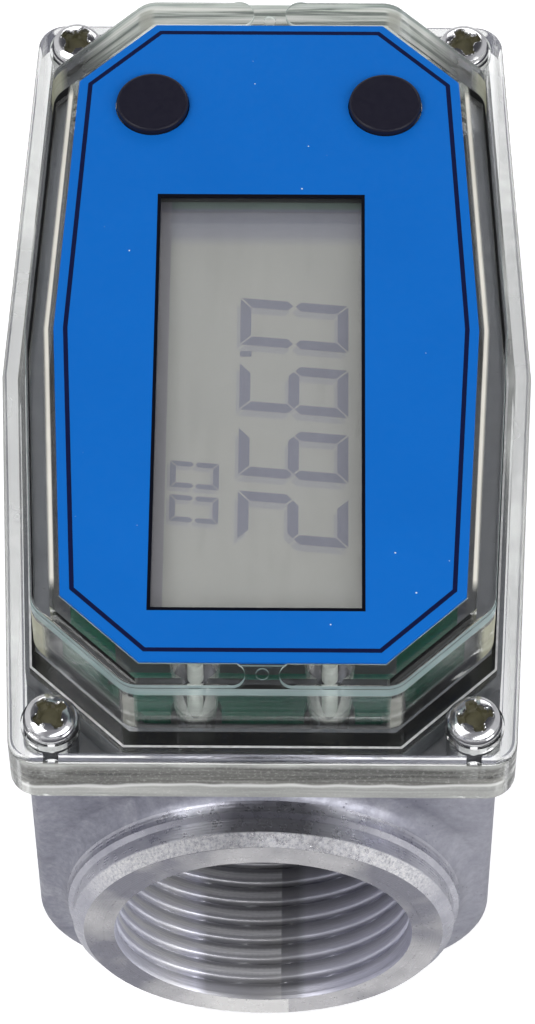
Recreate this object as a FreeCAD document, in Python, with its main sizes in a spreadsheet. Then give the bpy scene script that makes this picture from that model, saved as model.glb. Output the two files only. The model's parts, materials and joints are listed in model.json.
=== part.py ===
import FreeCAD, Part
import math
import os

import Sketcher

# Turbine flow meter: a die-cast body with two threaded ports and a magnetic rotor
# in its bore, and a sealed display under a clear cover on top.
# Millimetres. +Y runs along the flow axis, +Z is up, and the origin lies under the
# middle of the flat foot. Lengths called "half" run from the middle plane.

SIZES = {
    # Overall: what the rest of the plan is measured from
    "port_half_span": 50.8,
    "skirt_half_width": 27.75,
    "skirt_side_taper": 2.4,
    "port_reach": 4.15,
    # Face label: ten corners, sides bulged at mid length, corners cut off
    "label_side_margin": 5.75,
    "label_end_margin": 6.75,
    "label_side_taper": 1.7,
    "label_corner_cut_width": 8.1,
    "label_corner_cut_length": 7.7,
    "label_thickness": 0.3,
    "label_fit": 0.12,
    # Display window and keys on the face
    "window_left_margin": 10.75,
    "window_right_margin": 12.13,
    "window_front_margin": 6.3,
    "window_to_key": 12.0,
    "key_side_margin": 9.6,
    "key_end_margin": 10.9,
    "key_radius": 3.85,
    "key_fit": 0.1,
    "key_rise": 0.8,
    "key_edge_round": 0.35,
    "key_travel": 0.4,
    "key_collar_gap": 0.1,
    "key_collar_reach": 0.95,
    "key_collar_thickness": 1.1,
    "key_stem_radius": 1.5,
    # Clear cover
    "skirt_depth": 6.8,
    "skirt_wall": 1.6,
    "skirt_fit": 0.25,
    "skirt_corner_radius": 3.0,
    "skirt_edge_round": 0.6,
    "plate_thickness": 1.6,
    "tier_reach": 3.0,
    "tier_shift": 0.3,
    "tier_height": 7.8,
    "rim_reach": 2.95,
    "rim_height": 0.6,
    "rim_edge_round": 0.2,
    "rim_gap_half": 1.7,
    "gate_mark_radius": 0.65,
    "gate_mark_depth": 0.3,
    "window_plate": 1.9,
    "pillar_spacing_half": 6.7,
    "pillar_end_margin": 2.25,
    "pillar_top_radius": 2.6,
    "pillar_foot_radius": 1.85,
    "pillar_bore_radius": 0.8,
    "pillar_reach_below_board": 2.0,
    "board_post_side_margin": 4.2,
    "board_post_end_margin": 15.9,
    "board_post_radius": 2.2,
    "board_screw_depth": 6.0,
    # Cover screws, M3 with pan heads
    "screw_edge_margin": 4.19,
    "screw_radius": 1.5,
    "screw_length": 14.0,
    "screw_head_radius": 2.5,
    "screw_head_height": 1.8,
    "screw_flange_radius": 2.75,
    "screw_flange_thickness": 0.4,
    "screw_seat_radius": 3.0,
    "screw_seat_rise": 1.0,
    "screw_recess_width": 0.8,
    "screw_recess_span": 2.9,
    "screw_recess_depth": 1.2,
    "screw_hole_clearance": 0.25,
    "screw_thread_clearance": 0.05,
    "screw_tip_clearance": 1.5,
    "screw_tip_bevel": 0.5,
    "screw_column_radius": 2.7,
    # Bore, G1 parallel thread at each end
    "thread_radius": 16.62,
    "thread_length": 19.0,
    "turbine_bore_radius": 12.5,
    "turbine_bore_half_length": 10.0,
    "straightener_wall": 1.5,
    "ring_groove_depth": 0.9,
    "ring_groove_width": 1.1,
    "ring_shoulder": 3.5,
    # Die-cast body
    "boss_wall": 3.23,
    "boss_rim_bevel": 1.2,
    "bead_rise": 0.55,
    "bead_width": 0.8,
    "foot_margin": 0.6,
    "cove_radius": 2.4,
    "skirt_underside_gap": 0.7,
    "corner_relief_depth": 3.0,
    "land_reach": 4.55,
    "foot_corner_radius": 15.5,
    # Seal between the cover and the body
    "gasket_thickness": 1.0,
    "gasket_inset": 0.1,
    "gasket_side_margin": 0.5,
    "gasket_opening_margin": 0.15,
    # Rotor
    "rotor_half_length": 6.2,
    "rotor_hub_radius": 5.0,
    "blade_tip_gap": 0.4,
    "blade_thickness": 1.1,
    "blade_end_margin": 0.8,
    "blade_pitch": 66.0,
    "blade_root_sink": 0.6,
    "bushing_radius": 2.4,
    "shaft_radius": 1.0,
    "shaft_running_clearance": 0.04,
    "shaft_seat_length": 4.05,
    "press_clearance": 0.02,
    "rotor_magnet_radius": 1.0,
    "rotor_magnet_length": 6.0,
    "thrust_gap": 0.15,
    "thrust_washer_thickness": 0.4,
    # Flow straighteners and the rings that hold them in
    "straightener_clearance": 0.05,
    "straightener_hub_radius": 4.6,
    "nose_length": 8.0,
    "nose_tip_radius": 1.4,
    "vane_thickness": 1.3,
    "vane_margin": 0.8,
    "vane_root_overlap": 0.4,
    "ring_thickness": 1.0,
    "ring_band": 2.05,
    "ring_mouth_half_width": 4.2,
    "ring_ear_radius": 1.5,
    "ring_ear_hole_radius": 0.6,
    # Room for the electronics, stacked up from the bore
    "pickup_roof": 2.0,
    "cell_roof": 1.73,
    "housing_floor_rise": 0.6,
    "board_above_cells": 1.0,
    "land_above_board": 0.9,
    "housing_wall": 1.95,
    # Circuit board, display and switches
    "board_inset": 0.8,
    "board_thickness": 1.6,
    "board_hole_radius": 1.1,
    "board_screw_radius": 0.95,
    "board_screw_head_radius": 1.7,
    "board_screw_head_height": 1.0,
    "display_side_overlap": 2.24,
    "display_end_overlap": 0.7,
    "display_thickness": 2.0,
    "display_gap": 0.5,
    "display_fit": 0.1,
    "bezel_wall": 1.2,
    "bezel_ledge": 0.7,
    "contact_strip_width": 2.0,
    "contact_strip_margin": 1.5,
    "chip_half_width": 5.0,
    "chip_thickness": 1.4,
    "chip_edge_bevel": 0.3,
    "switch_half_width": 3.0,
    "switch_height": 3.5,
    "switch_floor": 0.8,
    "plunger_radius": 1.75,
    "plunger_length": 3.6,
    "plunger_spare_travel": 0.2,
    # Pickup and power
    "pickup_radius": 2.3,
    "pickup_clearance": 0.1,
    "pickup_head_radius": 3.2,
    "pickup_head_thickness": 1.2,
    "pickup_pin_radius": 0.3,
    "pickup_pin_half_pitch": 1.27,
    "cell_radius": 5.2,
    "cell_length": 43.6,
    "cell_tip_radius": 1.9,
    "cell_tip_length": 0.9,
    "cell_spacing_half": 10.9,
    "cell_end_room": 2.4,
    "tray_clearance": 0.1,
    "tray_wall": 0.6,
    "tray_fit": 0.1,
    "contact_disc_radius": 4.6,
    "contact_disc_thickness": 0.4,
    "cell_leaf_thickness": 0.3,
    "cell_leaf_half_width": 1.8,
    "cell_leaf_half_height": 3.2,
}

ROTOR_BLADES = 6
STRAIGHTENER_VANES = 5
BIG = 80.0  # wider than anything that a trimming cut has to clear


class Formula(float):
    """A number together with the text that binds it to the sheet."""

    def __new__(cls, value, text):
        number = float.__new__(cls, value)
        number.text = text
        return number

    def __add__(self, other):
        return Formula(float(self) + float(other), "(%s + %s)" % (self.text, text_of(other)))

    def __sub__(self, other):
        return Formula(float(self) - float(other), "(%s - %s)" % (self.text, text_of(other)))

    def __mul__(self, other):
        return Formula(float(self) * float(other), "(%s * %s)" % (self.text, text_of(other)))

    def __truediv__(self, other):
        return Formula(float(self) / float(other), "(%s / %s)" % (self.text, text_of(other)))

    def __neg__(self):
        return Formula(-float(self), "(0 - %s)" % self.text)


def text_of(number):
    return number.text if isinstance(number, Formula) else repr(float(number))


def root(number):
    return Formula(math.sqrt(number), "sqrt(%s)" % number.text)


class Sizes:
    """The sheet's values by name, each as a Formula."""

    def __init__(self, document, values):
        sheet = document.addObject("Spreadsheet::Sheet", "Dims")
        for row, (name, value) in enumerate(values.items(), 1):
            sheet.set("A%d" % row, name)
            sheet.set("B%d" % row, str(value))
            sheet.setAlias("B%d" % row, name)
            setattr(self, name, Formula(value, "Dims." + name))


def bind(thing, field, number):
    """Tie one property of a document object to the sheet."""
    thing.setExpression(field, text_of(number))


# ---------------------------------------------------------------- sketches

def plane(body, role):
    return next(f for f in body.Origin.OriginFeatures if f.Role == role)


def new_sketch(body, name, role="XY_Plane", lift=0.0, across=0.0, shift=0.0):
    """A sketch on one of the body's planes, lifted off it and moved along its own two axes."""
    sketch = body.newObject("Sketcher::SketchObject", name)
    sketch.AttachmentSupport = [(plane(body, role), "")]
    sketch.MapMode = "FlatFace"
    for axis, number in (("x", across), ("y", shift), ("z", lift)):
        bind(sketch, "AttachmentOffset.Base." + axis, number)
    return sketch


def pin(sketch, geometry, position, x, y):
    for kind, number in (("DistanceX", x), ("DistanceY", y)):
        index = sketch.addConstraint(Sketcher.Constraint(kind, -1, 1, geometry, position, float(number)))
        bind(sketch, "Constraints[%d]" % index, number)


def draw_outline(sketch, points, arcs=None):
    """Close an outline through the points; arcs names the (x, y, radius) of round segments."""
    arcs = arcs or {}
    vectors = [FreeCAD.Vector(x, y, 0) for x, y in points]
    starts = []
    for index, start in enumerate(vectors):
        end = vectors[(index + 1) % len(vectors)]
        if index in arcs:
            x, y, radius = arcs[index]
            centre = FreeCAD.Vector(x, y, 0)
            forward = (start - centre).cross(end - centre).z > 0
            first, last = (start, end) if forward else (end, start)
            circle = Part.Circle(centre, FreeCAD.Vector(0, 0, 1), radius)
            round_edge = Part.ArcOfCircle(circle, circle.parameter(first), circle.parameter(last))
            geometry = sketch.addGeometry(round_edge, False)
            starts.append((geometry, 1, 2) if forward else (geometry, 2, 1))
            limit = sketch.addConstraint(Sketcher.Constraint("Radius", geometry, float(radius)))
            bind(sketch, "Constraints[%d]" % limit, radius)
        else:
            geometry = sketch.addGeometry(Part.LineSegment(start, end), False)
            starts.append((geometry, 1, 2))
    for index, (geometry, begin, finish) in enumerate(starts):
        following, next_begin, _ = starts[(index + 1) % len(starts)]
        sketch.addConstraint(Sketcher.Constraint("Coincident", geometry, finish, following, next_begin))
        pin(sketch, geometry, begin, *points[index])


def draw_box(sketch, left, right, low, high):
    draw_outline(sketch, [(left, low), (right, low), (right, high), (left, high)])


def draw_circle(sketch, x, y, radius):
    circle = Part.Circle(FreeCAD.Vector(x, y, 0), FreeCAD.Vector(0, 0, 1), float(radius))
    geometry = sketch.addGeometry(circle, False)
    pin(sketch, geometry, 3, x, y)
    index = sketch.addConstraint(Sketcher.Constraint("Radius", geometry, float(radius)))
    bind(sketch, "Constraints[%d]" % index, radius)


def corners(x, y):
    """The four mirror places of a point in the plan."""
    return [(x, y), (-x, y), (-x, -y), (x, -y)]


# ---------------------------------------------------------------- features

def new_body(document, label, x=0.0, y=0.0, z=0.0):
    body = document.addObject("PartDesign::Body", label)
    body.Label = label
    for axis, number in (("x", x), ("y", y), ("z", z)):
        bind(body, "Placement.Base." + axis, number)
    return body


def offset_outline(body, name, source, height, reach=0.0, join="Intersection", ring=False, shift=0.0):
    """An outline shared by several pieces, moved outward by reach and set at a height."""
    outline = body.newObject("PartDesign::SubShapeBinder", name)
    outline.Support = [(source, ("",))]
    outline.Relative = False
    outline.OffsetJoinType = join
    outline.OffsetFill = ring
    outline.MakeFace = True
    bind(outline, "Offset", reach)
    bind(outline, "Placement.Base.y", shift)
    bind(outline, "Placement.Base.z", height)
    return outline


def pad(body, name, profile, length, down=False, middle=False, taper=None):
    feature = body.newObject("PartDesign::Pad", name)
    feature.Profile = profile
    bind(feature, "Length", length)
    feature.Reversed = down
    feature.Midplane = middle
    if taper is not None:
        bind(feature, "TaperAngle", taper)
    return feature


def pocket(body, name, profile, depth, up=False, middle=False):
    feature = body.newObject("PartDesign::Pocket", name)
    feature.Profile = profile
    bind(feature, "Length", depth)
    feature.Reversed = up
    feature.Midplane = middle
    return feature


def turn(body, name, sketch, cut=False, axis="H_Axis"):
    """A solid of revolution, or a turned cut, about one axis of its sketch."""
    feature = body.newObject("PartDesign::Groove" if cut else "PartDesign::Revolution", name)
    feature.Profile = sketch
    feature.ReferenceAxis = (sketch, [axis])
    feature.Angle = 360.0
    return feature


def ring_pattern(body, name, original, axis, copies):
    pattern = body.newObject("PartDesign::PolarPattern", name)
    pattern.Originals = [original]
    pattern.Axis = axis
    pattern.Angle = 360.0
    pattern.Occurrences = copies
    body.Tip = pattern
    return pattern


def edges_where(shape, test):
    return ["Edge%d" % number for number, edge in enumerate(shape.Edges, 1) if test(edge)]


def upright(edge):
    box = edge.BoundBox
    return box.XLength < 0.01 and box.YLength < 0.01


def dress(body, kind, name, base, test, size):
    """Fillet or chamfer the edges of the base feature that pass the test."""
    body.Document.recompute()
    feature = body.newObject("PartDesign::" + kind, name)
    feature.Base = (base, edges_where(base.Shape, test))
    bind(feature, "Radius" if kind == "Fillet" else "Size", size)
    return feature


# ---------------------------------------------------------------- shared outlines

def master_outline(document, name, quarter):
    """A plan outline from its corners in the quarter x > 0, y >= 0."""
    sketch = document.addObject("Sketcher::SketchObject", name)
    upper = quarter + [(-x, y) for x, y in reversed(quarter)]
    lower = [(-x, -y) for x, y in quarter[1:]] + [(x, -y) for x, y in reversed(quarter[1:])]
    draw_outline(sketch, upper + lower)
    return sketch


def face_outline(document, d):
    return master_outline(document, "face_outline", [
        (d.label_half_width, 0.0),
        (d.label_half_width - d.label_side_taper, d.label_half_length - d.label_corner_cut_length),
        (d.label_half_width - d.label_side_taper - d.label_corner_cut_width, d.label_half_length),
    ])


def skirt_outline(document, d):
    return master_outline(document, "skirt_outline", [
        (d.skirt_half_width, 0.0),
        (d.skirt_end_half_width, d.skirt_half_length),
    ])


def derive_plan(d):
    """Plan sizes that follow from the span of the ports and the width of the skirt."""
    d.skirt_half_length = d.port_half_span - d.port_reach
    d.skirt_end_half_width = d.skirt_half_width - d.skirt_side_taper
    d.casting_inset = -(d.skirt_wall + d.skirt_fit)
    d.casting_half_length = d.skirt_half_length + d.casting_inset
    d.label_half_width = d.skirt_half_width - d.label_side_margin
    d.label_half_length = d.skirt_half_length - d.label_end_margin
    d.window_left = d.label_half_width - d.window_left_margin
    d.window_right = d.label_half_width - d.window_right_margin
    d.window_front = d.label_half_length - d.window_front_margin
    d.key_setback = d.label_half_length - d.key_end_margin
    d.window_rear = d.key_setback - d.window_to_key
    d.key_spacing_half = d.label_half_width - d.key_side_margin
    d.display_x = (d.window_right - d.window_left) / 2
    d.display_y = (d.window_rear - d.window_front) / 2
    d.display_half_width = (d.window_right + d.window_left) / 2 + d.display_side_overlap
    d.display_half_length = (d.window_rear + d.window_front) / 2 + d.display_end_overlap
    d.screw_spacing_half = d.skirt_end_half_width - d.screw_edge_margin
    d.screw_setback = d.skirt_half_length - d.screw_edge_margin
    d.board_post_spacing_half = d.label_half_width - d.board_post_side_margin
    d.board_post_setback = d.label_half_length - d.board_post_end_margin
    d.housing_reach = d.tier_reach - d.housing_wall
    d.pillar_setback = d.label_half_length + d.housing_reach - d.pillar_end_margin


def derive_bore(d):
    """Radii and stations along the flow axis."""
    d.support_bore_radius = d.turbine_bore_radius + d.straightener_wall
    d.ring_groove_radius = d.support_bore_radius + d.ring_groove_depth
    d.ring_inner_radius = d.ring_groove_radius - d.straightener_clearance - d.ring_band
    d.ring_groove_end = d.port_half_span - d.thread_length - d.ring_shoulder
    d.ring_groove_start = d.ring_groove_end - d.ring_groove_width
    d.boss_radius = d.thread_radius + d.boss_wall
    d.bead_radius = d.boss_radius + d.bead_rise
    d.blade_tip_radius = d.turbine_bore_radius - d.blade_tip_gap
    d.blade_half_length = d.rotor_half_length - d.blade_end_margin
    d.rotor_magnet_orbit = (d.rotor_hub_radius + d.bushing_radius) / 2
    d.thrust_face = d.rotor_half_length + d.thrust_gap
    d.hub_face = d.thrust_face + d.thrust_washer_thickness
    d.shaft_half_length = d.hub_face + d.shaft_seat_length
    d.straightener_hub_end = d.ring_groove_start - d.nose_length + d.vane_margin


def derive_levels(d):
    """Heights, stacked up from the foot through the bore and the electronics to the face."""
    d.axis_height = d.bead_radius + d.foot_margin
    d.pickup_floor = d.axis_height + d.turbine_bore_radius + d.pickup_roof
    d.bay_radius = d.cell_radius + d.tray_clearance + d.tray_wall + d.tray_fit
    reach = d.support_bore_radius + d.cell_roof + d.bay_radius
    d.cell_height = d.axis_height + root(reach * reach - d.cell_spacing_half * d.cell_spacing_half)
    d.cell_bay_half_length = d.cell_length / 2 + d.cell_end_room
    d.housing_floor = d.cell_height + d.housing_floor_rise
    d.board_underside = d.cell_height + d.cell_radius + d.board_above_cells
    d.board_top = d.board_underside + d.board_thickness
    d.body_height = d.board_underside + d.land_above_board
    d.relief_floor = d.body_height - d.corner_relief_depth
    d.plate_underside = d.body_height + d.gasket_thickness
    d.plate_top = d.plate_underside + d.plate_thickness
    d.tier_top = d.plate_top + d.tier_height
    d.face_height = d.tier_top + d.rim_height
    d.label_underside = d.face_height - d.label_thickness
    d.ceiling = d.label_underside - d.window_plate
    d.display_underside = d.ceiling - d.display_gap - d.display_thickness
    d.plunger_floor = d.board_top + d.switch_floor + d.key_travel + d.plunger_spare_travel
    d.plunger_top = d.plunger_floor + d.plunger_length


# ---------------------------------------------------------------- body

def flow_body(document, d, face, skirt):
    body = new_body(document, "flow_body")
    inset, half_length = d.casting_inset, d.casting_half_length
    plan = offset_outline(body, "block_plan", skirt, 0.0, inset)
    block = pad(body, "block", plan, d.relief_floor)
    sides = dress(body, "Fillet", "foot_corners", block,
                  lambda e: e.BoundBox.ZMax < 0.01 and e.BoundBox.XMin * e.BoundBox.XMax > 1.0,
                  d.foot_corner_radius)
    corner_radius = d.skirt_corner_radius - d.skirt_wall - d.skirt_fit
    dress(body, "Fillet", "end_edges", sides,
          lambda e: e.BoundBox.YLength < 0.01 and abs(abs(e.BoundBox.YMin) - half_length) < 0.01
          and e.BoundBox.ZMin < d.relief_floor - 1.0, corner_radius)

    span, rim = d.port_half_span, d.boss_radius
    boss_root = half_length + d.cove_radius
    half = [(span, 0.0), (span, rim - d.boss_rim_bevel), (span - d.boss_rim_bevel, rim),
            (boss_root + d.bead_width, rim), (boss_root + d.bead_width * 0.5, d.bead_radius),
            (boss_root, d.bead_radius), (half_length, d.bead_radius + d.cove_radius)]
    inner = half_length - d.cove_radius
    outline = half + [(inner, d.bead_radius + d.cove_radius), (inner, 0.0)]
    for side, name in ((1, "outlet"), (-1, "inlet")):
        profile = new_sketch(body, name + "_port_profile", "YZ_Plane", shift=d.axis_height)
        points = [(x * side, y) for x, y in outline]
        cove = (boss_root * side, d.bead_radius + d.cove_radius, d.cove_radius)
        draw_outline(profile, points, arcs={5: cove})
        turn(body, name + "_port_boss", profile)

    below = new_sketch(body, "foot_plane")
    draw_box(below, -BIG, BIG, -BIG, BIG)
    pocket(body, "flat_foot", below, d.bead_radius)
    land_plan = offset_outline(body, "land_plan", face, d.relief_floor, d.land_reach)
    pad(body, "gasket_land", land_plan, d.corner_relief_depth)
    skirt_floor = d.plate_top - d.skirt_depth - d.skirt_underside_gap
    trim_plan = offset_outline(body, "trim_plan", skirt, skirt_floor, inset)
    trim_ring = offset_outline(body, "trim_ring", trim_plan, skirt_floor, BIG, ring=True)
    pocket(body, "skirt_trim", trim_ring, d.body_height, up=True)

    housing = offset_outline(body, "housing_plan", face, d.body_height, d.housing_reach)
    pocket(body, "housing", housing, d.body_height - d.housing_floor)
    bays = new_sketch(body, "cell_bay_section", "XZ_Plane")
    for side in (1, -1):
        draw_circle(bays, d.cell_spacing_half * side, d.cell_height, d.bay_radius)
    pocket(body, "cell_bays", bays, d.cell_bay_half_length * 2, middle=True)
    well = new_sketch(body, "pickup_plan", lift=d.housing_floor)
    draw_circle(well, 0.0, 0.0, d.pickup_radius + d.pickup_clearance)
    pocket(body, "pickup_well", well, d.housing_floor - d.pickup_floor)
    holes = new_sketch(body, "screw_hole_plan", lift=d.relief_floor)
    for x, y in corners(d.screw_spacing_half, d.screw_setback):
        draw_circle(holes, x, y, d.screw_radius + d.screw_thread_clearance)
    screw_tip = d.plate_top + d.screw_seat_rise - d.screw_length
    pocket(body, "screw_holes", holes, d.relief_floor - screw_tip + d.screw_tip_clearance)
    bore(body, d)
    return body


def bore(body, d):
    """The stepped flow bore: thread, straightener seat, ring groove and turbine bore."""
    sketch = new_sketch(body, "bore_profile", "YZ_Plane", shift=d.axis_height)
    half = [
        (d.turbine_bore_half_length, d.turbine_bore_radius),
        (d.turbine_bore_half_length, d.support_bore_radius),
        (d.ring_groove_start, d.support_bore_radius),
        (d.ring_groove_start, d.ring_groove_radius),
        (d.ring_groove_end, d.ring_groove_radius),
        (d.ring_groove_end, d.support_bore_radius),
        (d.port_half_span - d.thread_length, d.support_bore_radius),
        (d.port_half_span - d.thread_length, d.thread_radius),
        (d.port_half_span, d.thread_radius),
        (d.port_half_span, 0.0),
    ]
    draw_outline(sketch, half + [(-x, y) for x, y in reversed(half)])
    turn(body, "bore", sketch, cut=True)


# ---------------------------------------------------------------- cover and seal

def clear_cover(document, d, face, skirt):
    """Moulded clear cover, drawn from the underside of its plate."""
    body = new_body(document, "clear_cover", z=d.plate_underside)
    below_plate = d.skirt_depth - d.plate_thickness
    plan = offset_outline(body, "skirt_plan", skirt, -below_plate)
    block = pad(body, "skirt", plan, d.skirt_depth)
    rounded = dress(body, "Fillet", "skirt_corners", block,
                    lambda e: upright(e) and abs(e.BoundBox.YMin) > 1.0, d.skirt_corner_radius)
    dress(body, "Fillet", "skirt_edge", rounded,
          lambda e: e.BoundBox.ZMin > d.plate_thickness - 0.01, d.skirt_edge_round)
    hollow_plan = offset_outline(body, "skirt_hollow_plan", skirt, 0.0, -d.skirt_wall)
    hollow = pocket(body, "skirt_hollow", hollow_plan, below_plate)
    inner_x = d.skirt_end_half_width - d.skirt_wall
    inner_y = d.skirt_half_length - d.skirt_wall
    dress(body, "Fillet", "skirt_hollow_corners", hollow,
          lambda e: upright(e) and abs(abs(e.BoundBox.YMin) - inner_y) < 0.1
          and abs(abs(e.BoundBox.XMin) - inner_x) < 0.2, d.skirt_corner_radius - d.skirt_wall)

    tier_plan = offset_outline(body, "tier_plan", face, d.plate_thickness, d.tier_reach, "Arcs",
                               shift=d.tier_shift)
    pad(body, "tier", tier_plan, d.tier_height)
    tier_top = d.plate_thickness + d.tier_height
    rim_plan = offset_outline(body, "rim_plan", face, tier_top, d.rim_reach, "Arcs", shift=d.tier_shift)
    rim = pad(body, "rim", rim_plan, d.rim_height)
    face_level = tier_top + d.rim_height
    dress(body, "Fillet", "rim_edge", rim, lambda e: e.BoundBox.ZMin > face_level - 0.01, d.rim_edge_round)
    rim_gaps(body, d, tier_top)

    ceiling = d.ceiling - d.plate_underside
    hollow_face = offset_outline(body, "display_room_plan", face, 0.0, d.housing_reach)
    pocket(body, "display_room", hollow_face, ceiling, up=True)
    seat = offset_outline(body, "label_seat_plan", face, tier_top + d.rim_height, d.label_fit)
    pocket(body, "label_seat", seat, d.label_thickness)
    cover_pillars(body, d, ceiling)
    columns = new_sketch(body, "column_plan")
    seats = new_sketch(body, "screw_seat_plan", lift=d.plate_thickness)
    holes = new_sketch(body, "cover_hole_plan", lift=d.plate_thickness + d.screw_seat_rise)
    for x, y in corners(d.screw_spacing_half, d.screw_setback):
        draw_circle(columns, x, y, d.screw_column_radius)
        draw_circle(seats, x, y, d.screw_seat_radius)
        draw_circle(holes, x, y, d.screw_radius + d.screw_hole_clearance)
    column_length = d.gasket_thickness + d.corner_relief_depth
    pad(body, "screw_columns", columns, column_length, down=True)
    pad(body, "screw_seats", seats, d.screw_seat_rise)
    pocket(body, "cover_holes", holes, column_length + d.plate_thickness + d.screw_seat_rise)
    keys = new_sketch(body, "key_hole_plan", lift=tier_top + d.rim_height)
    for side in (1, -1):
        draw_circle(keys, d.key_spacing_half * side, d.key_setback, d.key_radius + d.key_fit)
    pocket(body, "key_holes", keys, d.label_thickness + d.window_plate)
    return body


def rim_gaps(body, d, tier_top):
    """The raised rim stops at both ends in two round-ended bars, with a gate mark between."""
    seat_edge = d.label_half_length + d.label_fit
    cut = new_sketch(body, "rim_gap_plan", lift=tier_top + d.rim_height)
    ends = new_sketch(body, "rim_end_plan", lift=tier_top)
    mark = new_sketch(body, "gate_mark_plan", lift=tier_top)
    for side in (1, -1):
        end_radius = (d.rim_reach + d.tier_shift * side) / 2
        reach = end_radius + d.rim_gap_half
        inner, outer = seat_edge * side, (d.label_half_length + d.rim_reach + 1.0) * side
        low, high = (inner, outer) if side == 1 else (outer, inner)
        draw_box(cut, -reach, reach, low, high)
        for x in (reach, -reach):
            draw_circle(ends, x, (d.label_half_length + end_radius) * side, end_radius)
        draw_circle(mark, 0.0, (d.label_half_length + end_radius * 0.7) * side, d.gate_mark_radius)
    pocket(body, "rim_gap", cut, d.rim_height)
    pad(body, "rim_ends", ends, d.rim_height)
    pocket(body, "gate_marks", mark, d.gate_mark_depth)


def cover_pillars(body, d, ceiling):
    """Tapered pillars that locate the circuit board, and straight posts that carry it."""
    length = d.ceiling - d.board_underside + d.pillar_reach_below_board
    plan = new_sketch(body, "pillar_plan", lift=ceiling)
    bores = new_sketch(body, "pillar_bore_plan", lift=ceiling - length)
    for x, y in corners(d.pillar_spacing_half, d.pillar_setback):
        draw_circle(plan, x, y, d.pillar_top_radius)
        draw_circle(bores, x, y, d.pillar_bore_radius)
    slope = math.degrees(math.atan((d.pillar_top_radius - d.pillar_foot_radius) / length))
    pillars = pad(body, "pillars", plan, length, down=True)
    pillars.TaperAngle = -slope
    pocket(body, "pillar_bores", bores, length - d.pillar_bore_radius, up=True)
    posts = new_sketch(body, "board_post_plan", lift=ceiling)
    pilots = new_sketch(body, "board_pilot_plan", lift=d.board_top - d.plate_underside)
    for x, y in corners(d.board_post_spacing_half, d.board_post_setback):
        draw_circle(posts, x, y, d.board_post_radius)
        draw_circle(pilots, x, y, d.board_screw_radius + d.screw_thread_clearance)
    pad(body, "board_posts", posts, d.ceiling - d.board_top, down=True)
    pocket(body, "board_pilots", pilots, d.board_screw_depth, up=True)


def face_label(document, d, face):
    """Printed film with an open window and two key holes."""
    body = new_body(document, "face_label", z=d.label_underside)
    plan = offset_outline(body, "film_plan", face, 0.0)
    pad(body, "film", plan, d.label_thickness)
    cuts = new_sketch(body, "opening_plan", lift=d.label_thickness)
    draw_box(cuts, -d.window_left, d.window_right, -d.window_front, d.window_rear)
    for side in (1, -1):
        draw_circle(cuts, d.key_spacing_half * side, d.key_setback, d.key_radius + d.key_fit)
    pocket(body, "openings", cuts, d.label_thickness)
    return body


def cover_gasket(document, d, face, skirt):
    body = new_body(document, "cover_gasket", z=d.body_height)
    plan = offset_outline(body, "outer_plan", face, 0.0, d.land_reach - d.gasket_inset)
    pad(body, "sheet", plan, d.gasket_thickness)
    edge = -(d.skirt_wall + d.skirt_fit + d.gasket_side_margin)
    trim_plan = offset_outline(body, "side_plan", skirt, 0.0, edge)
    trim_ring = offset_outline(body, "side_ring", trim_plan, 0.0, BIG, ring=True)
    pocket(body, "side_trim", trim_ring, d.gasket_thickness, up=True)
    opening = d.tier_reach - d.gasket_opening_margin
    inner = offset_outline(body, "inner_plan", face, 0.0, opening, shift=d.tier_shift)
    pocket(body, "opening", inner, d.gasket_thickness, up=True)
    return body


# ---------------------------------------------------------------- fasteners

def cover_screws(document, d):
    """Four screws with domed pan heads, a thin washer flange and a cross recess."""
    body = new_body(document, "cover_screws", z=d.plate_top + d.screw_seat_rise)
    flange, head = d.screw_flange_thickness, d.screw_head_radius
    dome = (d.screw_head_height - flange) * 0.8
    dome_radius = (head * head + dome * dome) / (dome * 2)
    recess = new_sketch(body, "recess_plan", lift=d.screw_head_height)
    arm, half = d.screw_recess_span / 2, d.screw_recess_width / 2
    for index, (x, y) in enumerate(corners(d.screw_spacing_half, d.screw_setback), 1):
        profile = new_sketch(body, "screw_profile_%d" % index, "XZ_Plane", lift=-y, across=x)
        draw_outline(profile, [
            (0.0, -d.screw_length), (d.screw_radius - d.screw_tip_bevel, -d.screw_length),
            (d.screw_radius, d.screw_tip_bevel - d.screw_length), (d.screw_radius, 0.0),
            (d.screw_flange_radius, 0.0), (d.screw_flange_radius, flange), (head, flange),
            (head, d.screw_head_height - dome), (0.0, d.screw_head_height),
        ], arcs={7: (0.0, d.screw_head_height - dome_radius, dome_radius)})
        turn(body, "screw_%d" % index, profile, axis="V_Axis")
        cross = [(arm, -half), (arm, half), (half, half), (half, arm), (-half, arm), (-half, half),
                 (-arm, half), (-arm, -half), (-half, -half), (-half, -arm), (half, -arm), (half, -half)]
        draw_outline(recess, [(across + x, along + y) for across, along in cross])
    pocket(body, "recesses", recess, d.screw_recess_depth)
    return body


def board_screws(document, d):
    """Four small screws that hold the circuit board up against the cover's posts."""
    body = new_body(document, "board_screws", z=d.board_underside)
    length = d.board_thickness + d.board_screw_depth - d.screw_tip_bevel
    head, low = d.board_screw_head_radius, -d.board_screw_head_height
    for index, (x, y) in enumerate(corners(d.board_post_spacing_half, d.board_post_setback), 1):
        profile = new_sketch(body, "board_screw_profile_%d" % index, "XZ_Plane", lift=-y, across=x)
        draw_outline(profile, [
            (0.0, low), (head * 0.7, low), (head, low / 2), (head, 0.0),
            (d.board_screw_radius, 0.0), (d.board_screw_radius, length), (0.0, length),
        ])
        turn(body, "board_screw_%d" % index, profile, axis="V_Axis")
    return body


# ---------------------------------------------------------------- display and keys

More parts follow.
